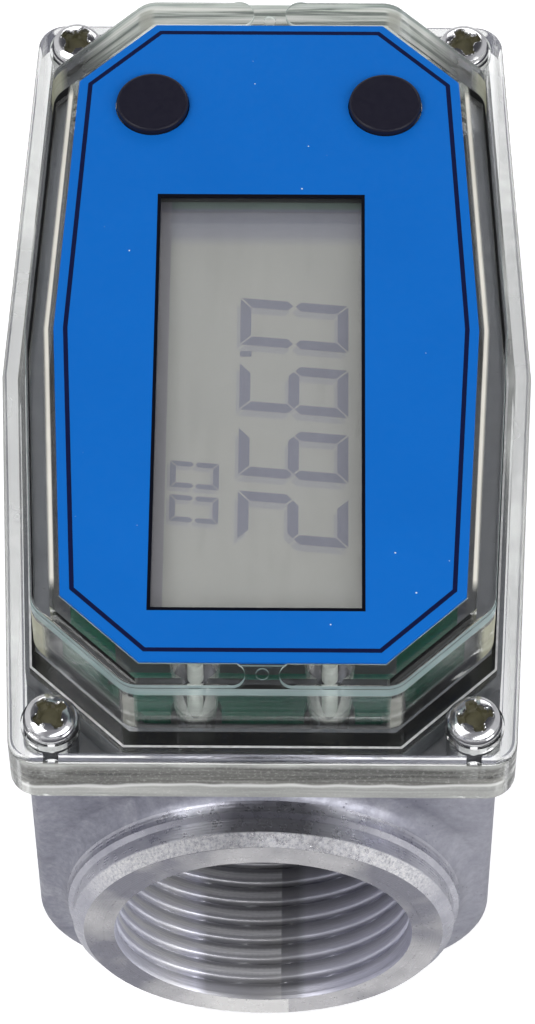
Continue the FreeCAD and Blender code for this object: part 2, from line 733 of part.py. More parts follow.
def circuit_board(document, d, face):
    body = new_body(document, "circuit_board", z=d.board_underside)
    plan = offset_outline(body, "board_plan", face, 0.0, -d.board_inset)
    pad(body, "board", plan, d.board_thickness)
    holes = new_sketch(body, "board_hole_plan", lift=d.board_thickness)
    notches = new_sketch(body, "board_notch_plan", lift=d.board_thickness)
    for x, y in corners(d.board_post_spacing_half, d.board_post_setback):
        draw_circle(holes, x, y, d.board_hole_radius)
    for x, y in corners(d.pillar_spacing_half, d.pillar_setback):
        draw_circle(notches, x, y, d.pillar_top_radius)
    pocket(body, "board_holes", holes, d.board_thickness)
    pocket(body, "board_notches", notches, d.board_thickness)
    return body


def display_panel(document, d):
    body = new_body(document, "display_panel", d.display_x, d.display_y, d.display_underside)
    plan = new_sketch(body, "panel_plan")
    draw_box(plan, -d.display_half_width, d.display_half_width, -d.display_half_length, d.display_half_length)
    pad(body, "panel", plan, d.display_thickness)
    return body


def display_bezel(document, d):
    """Frame that stands on the board and holds the glass by its edges."""
    body = new_body(document, "display_bezel", d.display_x, d.display_y, d.board_top)
    height = d.display_underside + d.display_thickness - d.board_top
    half_width = d.display_half_width + d.display_fit
    half_length = d.display_half_length + d.display_fit
    frame = new_sketch(body, "frame_plan")
    draw_box(frame, -half_width - d.bezel_wall, half_width + d.bezel_wall,
             -half_length - d.bezel_wall, half_length + d.bezel_wall)
    pad(body, "frame", frame, height)
    seat = new_sketch(body, "glass_seat_plan", lift=height)
    draw_box(seat, -half_width, half_width, -half_length, half_length)
    pocket(body, "glass_seat", seat, d.display_thickness)
    opening = new_sketch(body, "frame_opening_plan", lift=height)
    ledge_x = half_width - d.bezel_ledge
    ledge_y = half_length - d.bezel_ledge
    draw_box(opening, -ledge_x, ledge_x, -ledge_y, ledge_y)
    pocket(body, "frame_opening", opening, height)
    return body


def contact_strips(document, d):
    """Elastomer strips that carry the display's signals up from the board."""
    body = new_body(document, "contact_strips", d.display_x, d.display_y, d.board_top)
    plan = new_sketch(body, "strip_plan")
    outer = d.display_half_width - d.contact_strip_margin
    reach = d.display_half_length - d.contact_strip_margin
    draw_box(plan, outer - d.contact_strip_width, outer, -reach, reach)
    draw_box(plan, -outer, -(outer - d.contact_strip_width), -reach, reach)
    pad(body, "strips", plan, d.display_underside - d.board_top)
    return body


def controller_chip(document, d):
    body = new_body(document, "controller_chip", d.display_x, d.display_y, d.board_top)
    plan = new_sketch(body, "chip_plan")
    draw_box(plan, -d.chip_half_width, d.chip_half_width, -d.chip_half_width, d.chip_half_width)
    chip = pad(body, "chip", plan, d.chip_thickness)
    dress(body, "Chamfer", "chip_bevel", chip,
          lambda e: e.BoundBox.ZMin > d.chip_thickness - 0.01, d.chip_edge_bevel)
    return body


def key_parts(document, d, name, side):
    """One key: its cap, and the switch below with its plunger."""
    x, y = d.key_spacing_half * side, d.key_setback
    cap = new_body(document, name + "_button", x, y, d.face_height)
    section = new_sketch(cap, "cap_section", "XZ_Plane")
    collar_top = -(d.label_thickness + d.window_plate + d.key_collar_gap)
    collar_low = collar_top - d.key_collar_thickness
    collar_radius = d.key_radius + d.key_collar_reach
    ease = d.key_edge_round
    crown = d.key_radius - ease
    draw_outline(section, [
        (0.0, d.plunger_top - d.face_height), (d.key_stem_radius, d.plunger_top - d.face_height),
        (d.key_stem_radius, collar_low), (collar_radius, collar_low),
        (collar_radius, collar_top), (d.key_radius, collar_top),
        (d.key_radius, d.key_rise - ease), (crown, d.key_rise), (0.0, d.key_rise),
    ], arcs={6: (crown, d.key_rise - ease, ease)})
    turn(cap, "cap", section, axis="V_Axis")

    housing = new_body(document, name + "_switch", x, y, d.board_top)
    plan = new_sketch(housing, "switch_plan")
    half = d.switch_half_width
    draw_box(plan, -half, half, -half, half)
    pad(housing, "switch_case", plan, d.switch_height)
    hole = new_sketch(housing, "plunger_hole_plan", lift=d.switch_height)
    draw_circle(hole, 0.0, 0.0, d.plunger_radius + d.key_fit)
    pocket(housing, "plunger_hole", hole, d.switch_height - d.switch_floor)

    plunger = new_body(document, name + "_plunger", x, y, d.plunger_floor)
    disc = new_sketch(plunger, "plunger_plan")
    draw_circle(disc, 0.0, 0.0, d.plunger_radius)
    pad(plunger, "plunger", disc, d.plunger_length)
    return [cap, housing, plunger]


# ---------------------------------------------------------------- pickup and power

def pickup_sensor(document, d):
    """Magnetic pickup in the well above the rotor, with two pins up to the board."""
    body = new_body(document, "pickup_sensor", z=d.pickup_floor + d.pickup_clearance)
    section = new_sketch(body, "pickup_section", "XZ_Plane")
    neck = d.housing_floor + d.tray_wall - d.pickup_floor
    top = neck + d.pickup_head_thickness
    draw_outline(section, [
        (0.0, 0.0), (d.pickup_radius, 0.0), (d.pickup_radius, neck), (d.pickup_head_radius, neck),
        (d.pickup_head_radius, top), (0.0, top),
    ])
    turn(body, "pickup_case", section, axis="V_Axis")
    pins = new_sketch(body, "pin_plan", lift=top)
    for side in (1, -1):
        draw_circle(pins, 0.0, d.pickup_pin_half_pitch * side, d.pickup_pin_radius)
    pad(body, "pins", pins, d.board_underside - d.pickup_floor - d.pickup_clearance - top)
    return body


def battery_tray(document, d):
    """Insulating tray: two troughs joined by a bridge across the pickup."""
    body = new_body(document, "battery_tray")
    half_length = d.cell_bay_half_length - d.tray_fit
    outer = d.cell_radius + d.tray_clearance + d.tray_wall
    bridge = new_sketch(body, "bridge_section", "XZ_Plane")
    half_width = d.cell_spacing_half + outer
    bridge_top = d.housing_floor + d.tray_wall
    draw_box(bridge, -half_width, half_width, d.housing_floor, bridge_top)
    pad(body, "bridge", bridge, half_length * 2, middle=True)
    for name, radius, cut in (("troughs", outer, False), ("trough_bores", outer - d.tray_wall, True)):
        section = new_sketch(body, name + "_section", "XZ_Plane")
        for side in (1, -1):
            draw_circle(section, d.cell_spacing_half * side, d.cell_height, radius)
        make = pocket if cut else pad
        make(body, name, section, half_length * 2, middle=True)
    lid = new_sketch(body, "tray_top_plan", lift=bridge_top)
    draw_box(lid, -BIG, BIG, -BIG, BIG)
    pocket(body, "open_top", lid, BIG, up=True)
    hole = new_sketch(body, "tray_hole_plan", lift=bridge_top)
    draw_circle(hole, 0.0, 0.0, d.pickup_radius + d.pickup_clearance)
    pocket(body, "pickup_hole", hole, d.tray_wall * 2)
    return body


def battery_cells(document, d):
    """Two cells side by side, laid in opposite directions."""
    body = new_body(document, "battery_cells", z=d.cell_height)
    tip = d.cell_bay_half_length - d.tray_fit - d.contact_disc_thickness
    shoulder = tip - d.cell_tip_length
    flat = tip - d.cell_length
    for side, name in ((1, "right_cell"), (-1, "left_cell")):
        section = new_sketch(body, name + "_section", "YZ_Plane", lift=d.cell_spacing_half * side)
        points = [(flat, 0.0), (flat, d.cell_radius), (shoulder, d.cell_radius),
                  (shoulder, d.cell_tip_radius), (tip, d.cell_tip_radius), (tip, 0.0)]
        draw_outline(section, [(x * side, y) for x, y in points])
        turn(body, name, section)
    return body


def battery_contacts(document, d):
    """Contact discs at both ends of each cell, and a bent leaf spring at its flat end."""
    body = new_body(document, "battery_contacts", z=d.cell_height)
    disc = d.cell_bay_half_length - d.tray_fit - d.contact_disc_thickness
    for end, name in ((1, "rear_discs"), (-1, "front_discs")):
        section = new_sketch(body, name + "_section", "XZ_Plane", lift=-disc * end)
        for side in (1, -1):
            draw_circle(section, d.cell_spacing_half * side, 0.0, d.contact_disc_radius)
        pad(body, name, section, d.contact_disc_thickness, down=(end == 1))
    leaf, high = d.cell_leaf_thickness, d.cell_leaf_half_height
    room = disc * 2 - d.cell_length
    for side, name in ((1, "right_leaf"), (-1, "left_leaf")):
        section = new_sketch(body, name + "_section", "YZ_Plane", lift=d.cell_spacing_half * side)
        foot = -disc
        points = [(foot, -high), (foot + leaf, -high), (foot + room, -leaf), (foot + room, leaf),
                  (foot + leaf, high), (foot, high), (foot, high - leaf * 2), (foot + room - leaf, 0.0),
                  (foot, leaf * 2 - high)]
        draw_outline(section, [(x * side, y) for x, y in points])
        pad(body, name, section, d.cell_leaf_half_width * 2, middle=True)
    return body


# ---------------------------------------------------------------- turbine

def turbine_rotor(document, d):
    """Hub with helical blades, bored for its bushing and for two magnets."""
    body = new_body(document, "turbine_rotor", z=d.axis_height)
    hub = new_sketch(body, "hub_section", "XZ_Plane")
    draw_circle(hub, 0.0, 0.0, d.rotor_hub_radius)
    pad(body, "hub", hub, d.rotor_half_length * 2, middle=True)
    blade = new_sketch(body, "blade_section", "XZ_Plane", lift=-d.blade_half_length)
    half = d.blade_thickness / 2
    draw_box(blade, -half, half, d.rotor_hub_radius - d.blade_root_sink, d.blade_tip_radius)
    helix = body.newObject("PartDesign::AdditiveHelix", "blade")
    helix.Profile = blade
    helix.ReferenceAxis = (blade, ["N_Axis"])
    helix.Mode = 0
    bind(helix, "Pitch", d.blade_pitch)
    bind(helix, "Height", d.blade_half_length * 2)
    ring_pattern(body, "blades", helix, (blade, ["N_Axis"]), ROTOR_BLADES)
    document.recompute()
    bushing = new_sketch(body, "bushing_bore_section", "XZ_Plane")
    draw_circle(bushing, 0.0, 0.0, d.bushing_radius + d.press_clearance)
    pocket(body, "bushing_bore", bushing, d.rotor_half_length * 2, middle=True)
    magnets = new_sketch(body, "magnet_bore_section", "XZ_Plane", lift=d.rotor_half_length)
    for side in (1, -1):
        draw_circle(magnets, 0.0, d.rotor_magnet_orbit * side, d.rotor_magnet_radius + d.press_clearance)
    pocket(body, "magnet_bores", magnets, d.rotor_magnet_length)
    return body


def rotor_inserts(document, d):
    bushing = new_body(document, "rotor_bushing", z=d.axis_height)
    section = new_sketch(bushing, "bushing_section", "XZ_Plane")
    draw_circle(section, 0.0, 0.0, d.bushing_radius)
    draw_circle(section, 0.0, 0.0, d.shaft_radius + d.shaft_running_clearance)
    pad(bushing, "bushing", section, d.rotor_half_length * 2, middle=True)

    magnets = new_body(document, "rotor_magnets", z=d.axis_height)
    plan = new_sketch(magnets, "magnet_section", "XZ_Plane", lift=d.rotor_half_length)
    for side in (1, -1):
        draw_circle(plan, 0.0, d.rotor_magnet_orbit * side, d.rotor_magnet_radius)
    pad(magnets, "magnets", plan, d.rotor_magnet_length, down=True)
    return [bushing, magnets]


def rotor_shaft(document, d):
    body = new_body(document, "rotor_shaft", z=d.axis_height)
    section = new_sketch(body, "shaft_section", "XZ_Plane")
    draw_circle(section, 0.0, 0.0, d.shaft_radius)
    pad(body, "shaft", section, d.shaft_half_length * 2, middle=True)
    return body


def thrust_washers(document, d):
    """One washer on the shaft at each end of the rotor."""
    body = new_body(document, "thrust_washers", z=d.axis_height)
    for side, name in ((1, "front_washer"), (-1, "rear_washer")):
        section = new_sketch(body, name + "_section", "XZ_Plane", lift=d.thrust_face * side)
        draw_circle(section, 0.0, 0.0, d.bushing_radius)
        draw_circle(section, 0.0, 0.0, d.shaft_radius + d.press_clearance)
        pad(body, name, section, d.thrust_washer_thickness, down=(side == -1))
    return body


def turned(document, d, label, side):
    """A body on the flow axis that faces the outlet, or is turned about to face the inlet."""
    body = new_body(document, label, z=d.axis_height)
    body.Placement.Rotation = FreeCAD.Rotation(FreeCAD.Vector(0, 0, 1), 0 if side == 1 else 180)
    return body


def straightener(document, d, label, side):
    """Ring, vanes and a nosed hub that carries one end of the rotor shaft."""
    body = turned(document, d, label, side)
    ring = new_sketch(body, "ring_section", "YZ_Plane")
    inner_end = d.turbine_bore_half_length + d.straightener_clearance
    outer_end = d.ring_groove_start - d.straightener_clearance
    ring_radius = d.support_bore_radius - d.straightener_clearance
    draw_box(ring, inner_end, outer_end, d.turbine_bore_radius, ring_radius)
    turn(body, "ring", ring)

    hub = new_sketch(body, "hub_section", "YZ_Plane")
    radius, tip = d.straightener_hub_radius, d.nose_tip_radius
    nose_base = d.straightener_hub_end + d.nose_length - tip
    shaft_end = d.shaft_half_length + d.straightener_clearance
    bore_radius = d.shaft_radius + d.press_clearance
    bevel = (radius - d.bushing_radius) / 2
    draw_outline(hub, [
        (d.hub_face, bore_radius), (d.hub_face, d.bushing_radius), (d.hub_face + bevel, radius),
        (d.straightener_hub_end, radius), (nose_base, tip), (nose_base + tip, 0.0),
        (shaft_end, 0.0), (shaft_end, bore_radius),
    ], arcs={4: (nose_base, 0.0, tip)})
    turn(body, "hub", hub)

    vane = new_sketch(body, "vane_plan", "YZ_Plane")
    start = d.turbine_bore_half_length + d.vane_margin
    overlap = d.vane_root_overlap
    draw_box(vane, start, d.straightener_hub_end, radius - overlap, d.turbine_bore_radius + overlap)
    blade = pad(body, "vane", vane, d.vane_thickness, middle=True)
    ring_pattern(body, "vanes", blade, (vane, ["H_Axis"]), STRAIGHTENER_VANES)
    return body


def retaining_ring(document, d, label, side):
    """Open spring ring with two drilled ears, seated in its groove."""
    body = turned(document, d, label, side)
    front = -(d.ring_groove_start + (d.ring_groove_width - d.ring_thickness) / 2)
    ring = new_sketch(body, "ring_section", "XZ_Plane", lift=front)
    draw_circle(ring, 0.0, 0.0, d.ring_groove_radius - d.straightener_clearance)
    draw_circle(ring, 0.0, 0.0, d.ring_inner_radius)
    pad(body, "ring", ring, d.ring_thickness, down=True)
    mouth = new_sketch(body, "mouth_section", "XZ_Plane", lift=front)
    half = d.ring_mouth_half_width
    draw_box(mouth, -half, half, 0.0, d.ring_groove_radius * 1.1)
    pocket(body, "mouth", mouth, d.ring_thickness)
    ears = new_sketch(body, "ear_section", "XZ_Plane", lift=front)
    holes = new_sketch(body, "ear_hole_section", "XZ_Plane", lift=front)
    ear_x, ear_z = half + d.ring_ear_radius * 0.8, d.ring_inner_radius - d.ring_ear_radius * 0.9
    for side in (1, -1):
        draw_circle(ears, ear_x * side, ear_z, d.ring_ear_radius)
        draw_circle(holes, ear_x * side, ear_z, d.ring_ear_hole_radius)
    pad(body, "ears", ears, d.ring_thickness, down=True)
    pocket(body, "ear_holes", holes, d.ring_thickness)
    return body


# ---------------------------------------------------------------- model

def build():
    document = FreeCAD.newDocument("turbine_flow_meter")
    d = Sizes(document, SIZES)
    document.recompute()
    derive_plan(d)
    derive_bore(d)
    derive_levels(d)
    face = face_outline(document, d)
    skirt = skirt_outline(document, d)
    document.recompute()

    parts = [
        flow_body(document, d, face, skirt),
        clear_cover(document, d, face, skirt),
        face_label(document, d, face),
        cover_gasket(document, d, face, skirt),
        cover_screws(document, d),
        circuit_board(document, d, face),
        board_screws(document, d),
        display_panel(document, d),
        display_bezel(document, d),
        contact_strips(document, d),
        controller_chip(document, d),
        pickup_sensor(document, d),
        battery_tray(document, d),
        battery_cells(document, d),
        battery_contacts(document, d),
        turbine_rotor(document, d),
        rotor_shaft(document, d),
        thrust_washers(document, d),
    ]
    parts += key_parts(document, d, "display", -1)
    parts += key_parts(document, d, "calibrate", 1)
    parts += rotor_inserts(document, d)
    for end, side in (("inlet", -1), ("outlet", 1)):
        parts.append(straightener(document, d, end + "_straightener", side))
        parts.append(retaining_ring(document, d, end + "_retaining_ring", side))
    document.recompute()
    check(document, parts)
    export(parts)


def check(document, parts):
    for thing in document.Objects:
        if "Invalid" in thing.State or "Error" in thing.State:
            raise RuntimeError("%s failed: %s" % (thing.Name, thing.State))
    for part in parts:
        if part.Shape.isNull() or not part.Shape.isValid():
            raise RuntimeError("%s has no valid shape" % part.Label)


def export(parts):
    os.makedirs("parts", exist_ok=True)
    for part in parts:
        part.Shape.exportStep("parts/%s.step" % part.Label)
        box = part.Shape.BoundBox
        print("%-24s solids %d  volume %9.2f  x %7.2f %7.2f  y %7.2f %7.2f  z %7.2f %7.2f" % (
            part.Label, len(part.Shape.Solids), part.Shape.Volume,
            box.XMin, box.XMax, box.YMin, box.YMax, box.ZMin, box.ZMax))


build()
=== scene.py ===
import json
import math

import bmesh
import bpy
from mathutils import Matrix, Vector, noise


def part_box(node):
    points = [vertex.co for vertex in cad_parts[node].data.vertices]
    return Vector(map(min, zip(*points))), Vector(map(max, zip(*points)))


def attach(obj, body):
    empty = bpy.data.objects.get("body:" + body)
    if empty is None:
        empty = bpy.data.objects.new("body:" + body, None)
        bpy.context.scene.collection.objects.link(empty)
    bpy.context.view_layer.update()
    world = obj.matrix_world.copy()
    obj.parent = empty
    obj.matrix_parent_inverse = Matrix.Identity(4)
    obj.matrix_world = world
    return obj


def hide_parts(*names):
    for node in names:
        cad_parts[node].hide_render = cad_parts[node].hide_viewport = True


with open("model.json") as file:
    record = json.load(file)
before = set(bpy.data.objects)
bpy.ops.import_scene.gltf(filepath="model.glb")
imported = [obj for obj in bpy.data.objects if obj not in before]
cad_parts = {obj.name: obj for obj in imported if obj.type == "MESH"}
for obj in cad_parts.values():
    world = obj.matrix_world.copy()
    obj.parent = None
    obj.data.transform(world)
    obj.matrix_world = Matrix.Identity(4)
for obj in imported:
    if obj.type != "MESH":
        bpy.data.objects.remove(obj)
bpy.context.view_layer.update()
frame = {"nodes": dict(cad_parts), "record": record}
MM = 0.001

# what Blender's start-up file brings
for name in ("Cube", "Light", "Camera"):
    if name in bpy.data.objects:
        bpy.data.objects.remove(bpy.data.objects[name])


def span(node):
    """A CAD node's lowest and highest corner in millimetres."""
    low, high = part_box(node)
    return [v / MM for v in low], [v / MM for v in high]


# ------------------------------------------------------------------ materials

class Nodes:
    """A small wrapper that adds and links shader nodes."""

    def __init__(self, tree):
        self.tree = tree

    def add(self, kind, inputs=None, **props):
        node = self.tree.nodes.new("ShaderNode" + kind)
        for key, value in props.items():
            setattr(node, key, value)
        for key, value in (inputs or {}).items():
            self.put(node.inputs[key], value)
        return node

    def put(self, socket, value):
        if isinstance(value, bpy.types.NodeSocket):
            self.tree.links.new(value, socket)
        else:
            socket.default_value = value

    def place(self):
        """Object coordinates in millimetres."""
        return self.stretch(self.add("TexCoord").outputs["Object"], (1 / MM,) * 3)

    def stretch(self, where, factors):
        """Coordinates times a factor along each axis; a small one draws a pattern out that way."""
        return self.add("VectorMath", {0: where, 1: factors}, operation="MULTIPLY").outputs[0]

    def length(self, where):
        return self.add("VectorMath", {0: where}, operation="LENGTH").outputs["Value"]

    def axis(self, where, name):
        return self.add("SeparateXYZ", {"Vector": where}).outputs[name]

    def noise(self, where, scale, detail=3.0, roughness=0.55, distortion=0.0):
        return self.add("TexNoise", {"Vector": where, "Scale": scale, "Detail": detail,
                                     "Roughness": roughness, "Distortion": distortion}).outputs["Fac"]

    def ramp(self, factor, stops):
        node = self.add("ValToRGB", {"Fac": factor})
        ramp = node.color_ramp
        while len(ramp.elements) < len(stops):
            ramp.elements.new(0.5)
        for element, (position, color) in zip(ramp.elements, stops):
            element.position = position
            element.color = rgba(color)
        return node.outputs["Color"]

    def math(self, operation, first, second=0.0):
        return self.add("Math", {0: first, 1: second}, operation=operation).outputs[0]

    def product(self, first, *others):
        for other in others:
            first = self.math("MULTIPLY", first, other)
        return first

    def between(self, value, low, high, to_low=0.0, to_high=1.0):
        """Goes from to_low to to_high while the value goes from low to high, and no further."""
        return self.add("MapRange", {"Value": value, "From Min": low, "From Max": high,
                                     "To Min": to_low, "To Max": to_high}).outputs["Result"]

    def mix(self, factor, first, second, blend="MIX"):
        node = self.add("Mix", data_type="RGBA", blend_type=blend)
        self.put(node.inputs[0], factor)
        self.put(node.inputs[6], first)
        self.put(node.inputs[7], second)
        return node.outputs[2]

    def bump(self, height, distance, strength=1.0, under=None):
        inputs = {"Height": height, "Distance": distance, "Strength": strength}
        if under is not None:
            inputs["Normal"] = under
        return self.add("Bump", inputs).outputs["Normal"]


def rgba(color):
    return tuple(color) + (1.0,) if len(color) == 3 else tuple(color)


def srgb(red, green, blue):
    """A screen colour from 0 to 255 as a linear one."""
    return tuple((v / 255 / 12.92) if v <= 10 else ((v / 255 + 0.055) / 1.055) ** 2.4
                 for v in (red, green, blue))


def new_material(name, color=(0.5, 0.5, 0.5), roughness=0.5, metallic=0.0, **sockets):
    material = bpy.data.materials.new(name)
    material.use_nodes = True
    shader = material.node_tree.nodes["Principled BSDF"]
    shader.inputs["Base Color"].default_value = rgba(color)
    shader.inputs["Roughness"].default_value = roughness
    shader.inputs["Metallic"].default_value = metallic
    for key, value in sockets.items():
        shader.inputs[key.replace("_", " ")].default_value = value
    return material, Nodes(material.node_tree), shader


def moulded(name, color, roughness=0.45, shade=0.85, grain=0.004, scale=2.0, **sockets):
    """Plain moulded plastic or rubber: slight colour drift, fine grain and uneven gloss."""
    material, n, shader = new_material(name, color, roughness, **sockets)
    where = n.place()
    drift = n.noise(where, 0.35 * scale, 4.0)
    n.put(shader.inputs["Base Color"], n.mix(drift, rgba(color), rgba([c * shade for c in color])))
    gloss = n.between(n.noise(where, scale), 0.3, 0.7, roughness * 0.85, roughness * 1.15)
    n.put(shader.inputs["Roughness"], gloss)
    n.put(shader.inputs["Normal"], n.bump(n.noise(where, 4.0 * scale, 2.0), grain * MM))
    return material


def turned_metal(name, color, roughness=0.3, grain=0.003, metallic=1.0):
    """Drawn, turned or plated metal with fine grain and a mottled shine."""
    material, n, shader = new_material(name, color, roughness, metallic)
    where = n.place()
    drift = n.noise(where, 0.8, 5.0)
    n.put(shader.inputs["Base Color"], n.mix(drift, rgba(color), rgba([c * 0.78 for c in color])))
    n.put(shader.inputs["Roughness"], n.between(drift, 0.3, 0.7, roughness * 0.75, roughness * 1.3))
    n.put(shader.inputs["Normal"], n.bump(n.noise(where, 9.0, 3.0), grain * MM))
    return material


def bore_radius(n, where):
    """Distance from the axis of the bore."""
    centre = n.add("VectorMath", {0: where, 1: (0.0, 0.0, axis_height)}, operation="SUBTRACT").outputs[0]
    return n.length(n.stretch(centre, (1.0, 0.0, 1.0)))


def cast_body_material():
    """Die-cast aluminium: blasted skin with cold-flow streaks, and turned port ends with pits; painted
    light and shade on both.
    """
    material, n, shader = new_material("cast_aluminium", roughness=0.4, metallic=1.0)
    where = n.place()
    along = n.math("ABSOLUTE", n.axis(where, "Y"))
    x, y, z = (n.axis(where, name) for name in "XYZ")
    turned = n.math("GREATER_THAN", along, TURNED_FROM)
    face = n.math("GREATER_THAN", along, port_face - 0.05)

    # blasted skin, with painted light that makes it paler towards the right
    patches = n.noise(where, 0.13, 5.0, 0.65, 0.8)
    streaks = n.noise(n.stretch(where, (0.25, 1.0, 0.5)), 0.5, 5.0, 0.65, 0.8)
    skin = n.ramp(patches, [(0.30, (0.24, 0.245, 0.29)), (0.50, (0.32, 0.325, 0.38)),
                            (0.68, (0.42, 0.42, 0.47))])
    skin = n.mix(n.between(streaks, 0.45, 0.70, 0.0, 0.35), skin, rgba((0.54, 0.54, 0.59)))
    mottle = n.noise(where, 1.6, 3.0, 0.7)
    skin = n.mix(n.between(mottle, 0.35, 0.65, 0.34, 0.0), skin, rgba((0.14, 0.14, 0.18)))
    # painted light: the skin is paler towards the right
    skin = n.mix(n.between(x, 10.0, 20.0, 0.0, 0.30), skin, rgba((0.56, 0.56, 0.62)))
    # painted shade: the body goes dark at its top, where the clear cover sits on it
    land = n.between(z, skirt_low[2] - 0.6, skirt_low[2] - 0.3)
    skin = n.mix(n.product(land, 0.8), skin, rgba((0.085, 0.09, 0.10)))

    # turned port end: worn face, and painted reflections: a pale patch below the bore on the near port, a
    # dark top above the bore, and glints on the bevel's upper half
    bright = n.ramp(patches, [(0.3, (0.36, 0.36, 0.42)), (0.7, (0.58, 0.58, 0.63))])
    worn = n.ramp(n.noise(where, 0.07, 3.0, 0.6), [
        (0.38, (0.24, 0.24, 0.28)), (0.50, (0.46, 0.455, 0.47)), (0.62, (0.62, 0.61, 0.62))])
    # painted highlight: a pale patch below the bore, on the near port only
    painted_highlight_patch = n.product(n.between(x, -9.0, -5.0), n.between(x, 2.55, 2.7, 1.0, 0.0),
                          n.between(z, axis_height - 12.5, axis_height - 12.0, 0.85, 0.0),
                          n.math("LESS_THAN", y, 0.0))
    # from here the face's tone holds this painted highlight as well as its wear
    worn = n.mix(painted_highlight_patch, worn, rgba((0.90, 0.89, 0.87)))
    bevel = n.between(along, port_face - 1.25, port_face - 1.1)
    # painted reflection: the boss is dark at its top, above the bore
    from_top = n.math("ABSOLUTE", n.math("SUBTRACT", x, 0.6))
    painted_dark_top = n.product(n.between(from_top, 3.5, 8.5, 0.85, 0.0),
                      n.between(z, axis_height + 15.0, axis_height + 18.0))
    bright = n.mix(painted_dark_top, bright, rgba((0.10, 0.10, 0.12)))
    # painted highlights: glints on the bevel's upper half
    glint = n.ramp(n.noise(where, 3.2, 4.0, 0.75), [
        (0.36, (0.44, 0.44, 0.48)), (0.46, (0.64, 0.64, 0.67)), (0.62, (0.84, 0.83, 0.83))])
    upper = n.between(z, axis_height + 6.0, axis_height + 12.0)
    bright = n.mix(n.product(bevel, upper), bright, glint)
    bright = n.mix(face, bright, worn)
    color = n.mix(turned, skin, bright)

    # casting pits, which gather in patches
    cells = n.add("TexVoronoi", {"Vector": where, "Scale": 1.3, "Randomness": 1.0})
    dense = n.between(n.noise(where, 0.16, 3.0), 0.48, 0.60)
    pit = n.product(n.between(cells.outputs["Distance"], 0.08, 0.14, 1.0, 0.0), dense)
    color = n.mix(n.product(pit, 0.85), color, rgba((0.10, 0.10, 0.11)))
    n.put(shader.inputs["Base Color"], color)

    fine = n.noise(where, 5.0, 3.0, 0.6)
    coarse = n.noise(where, 1.1, 4.0, 0.6)
    rough_skin = n.between(coarse, 0.3, 0.7, 0.36, 0.54)
    rough_bright = n.between(coarse, 0.3, 0.7, 0.22, 0.38)
    n.put(shader.inputs["Roughness"], n.add("Mix", {0: turned, 2: rough_skin, 3: rough_bright}).outputs[0])

    # relief: blasted grain on the skin, turning marks on the port ends, and the pits
    feed = n.math("ADD", bore_radius(n, where), n.product(along, 0.9))
    lathe = n.product(n.math("SINE", n.product(feed, 22.0)), 0.25, turned)
    blasted = n.product(fine, n.between(turned, 0.0, 1.0, 1.0, 0.25))
    height = n.math("ADD", n.math("ADD", blasted, lathe), n.product(pit, -3.0))
    under = n.bump(coarse, 0.05 * MM, 0.5)
    n.put(shader.inputs["Normal"], n.bump(height, 0.018 * MM, 1.0, under))
    return material


def thread_material():
    """Cut thread: crests with a painted highlight on one side, and on the near port painted reflections, a
    light side and a dark side that end along sharp lines.
    """
    material, n, shader = new_material("cut_thread", roughness=0.35, metallic=0.6)
    where = n.place()
    x = n.axis(where, "X")
    # painted reflections: light and dark sides across the thread, kept on the near port; the far port has
    # a plain tone
    tone = n.ramp(n.between(x, -16.0, 16.0), [
        (0.0, (0.70, 0.71, 0.84)), (0.20, (0.97, 0.97, 1.0)), (0.27, (0.88, 0.88, 0.98)),
        (0.31, (0.44, 0.44, 0.47)), (0.53, (0.38, 0.375, 0.38)), (0.555, (0.38, 0.375, 0.38)),
        (0.56, (0.25, 0.25, 0.26)), (0.61, (0.27, 0.27, 0.29)), (0.64, (0.48, 0.48, 0.54)),
        (1.0, (0.60, 0.60, 0.72))])
    front = n.math("LESS_THAN", n.axis(where, "Y"), 0.0)
    tone = n.mix(front, rgba((0.50, 0.50, 0.55)), tone)
    # painted highlight on the crests, on one side only
    crest = n.between(bore_radius(n, where), THREAD_CREST + 0.003, THREAD_CREST + 0.035, 1.0, 0.0)
    crest_highlight = n.product(crest, n.between(x, 1.75, 1.85, 1.0, 0.12))
    tone = n.mix(n.product(crest_highlight, 0.85), tone, rgba((1.0, 1.0, 1.0)))
    scratch = n.noise(n.stretch(where, (0.2, 6.0, 0.2)), 1.4, 3.0, 0.6)
    tone = n.mix(n.between(scratch, 0.35, 0.65, 0.0, 0.35), tone, rgba((0.30, 0.30, 0.34)))
    n.put(shader.inputs["Base Color"], tone)
    n.put(shader.inputs["Roughness"], n.between(scratch, 0.3, 0.7, 0.30, 0.42))
    n.put(shader.inputs["Normal"], n.bump(scratch, 0.004 * MM))
    return material


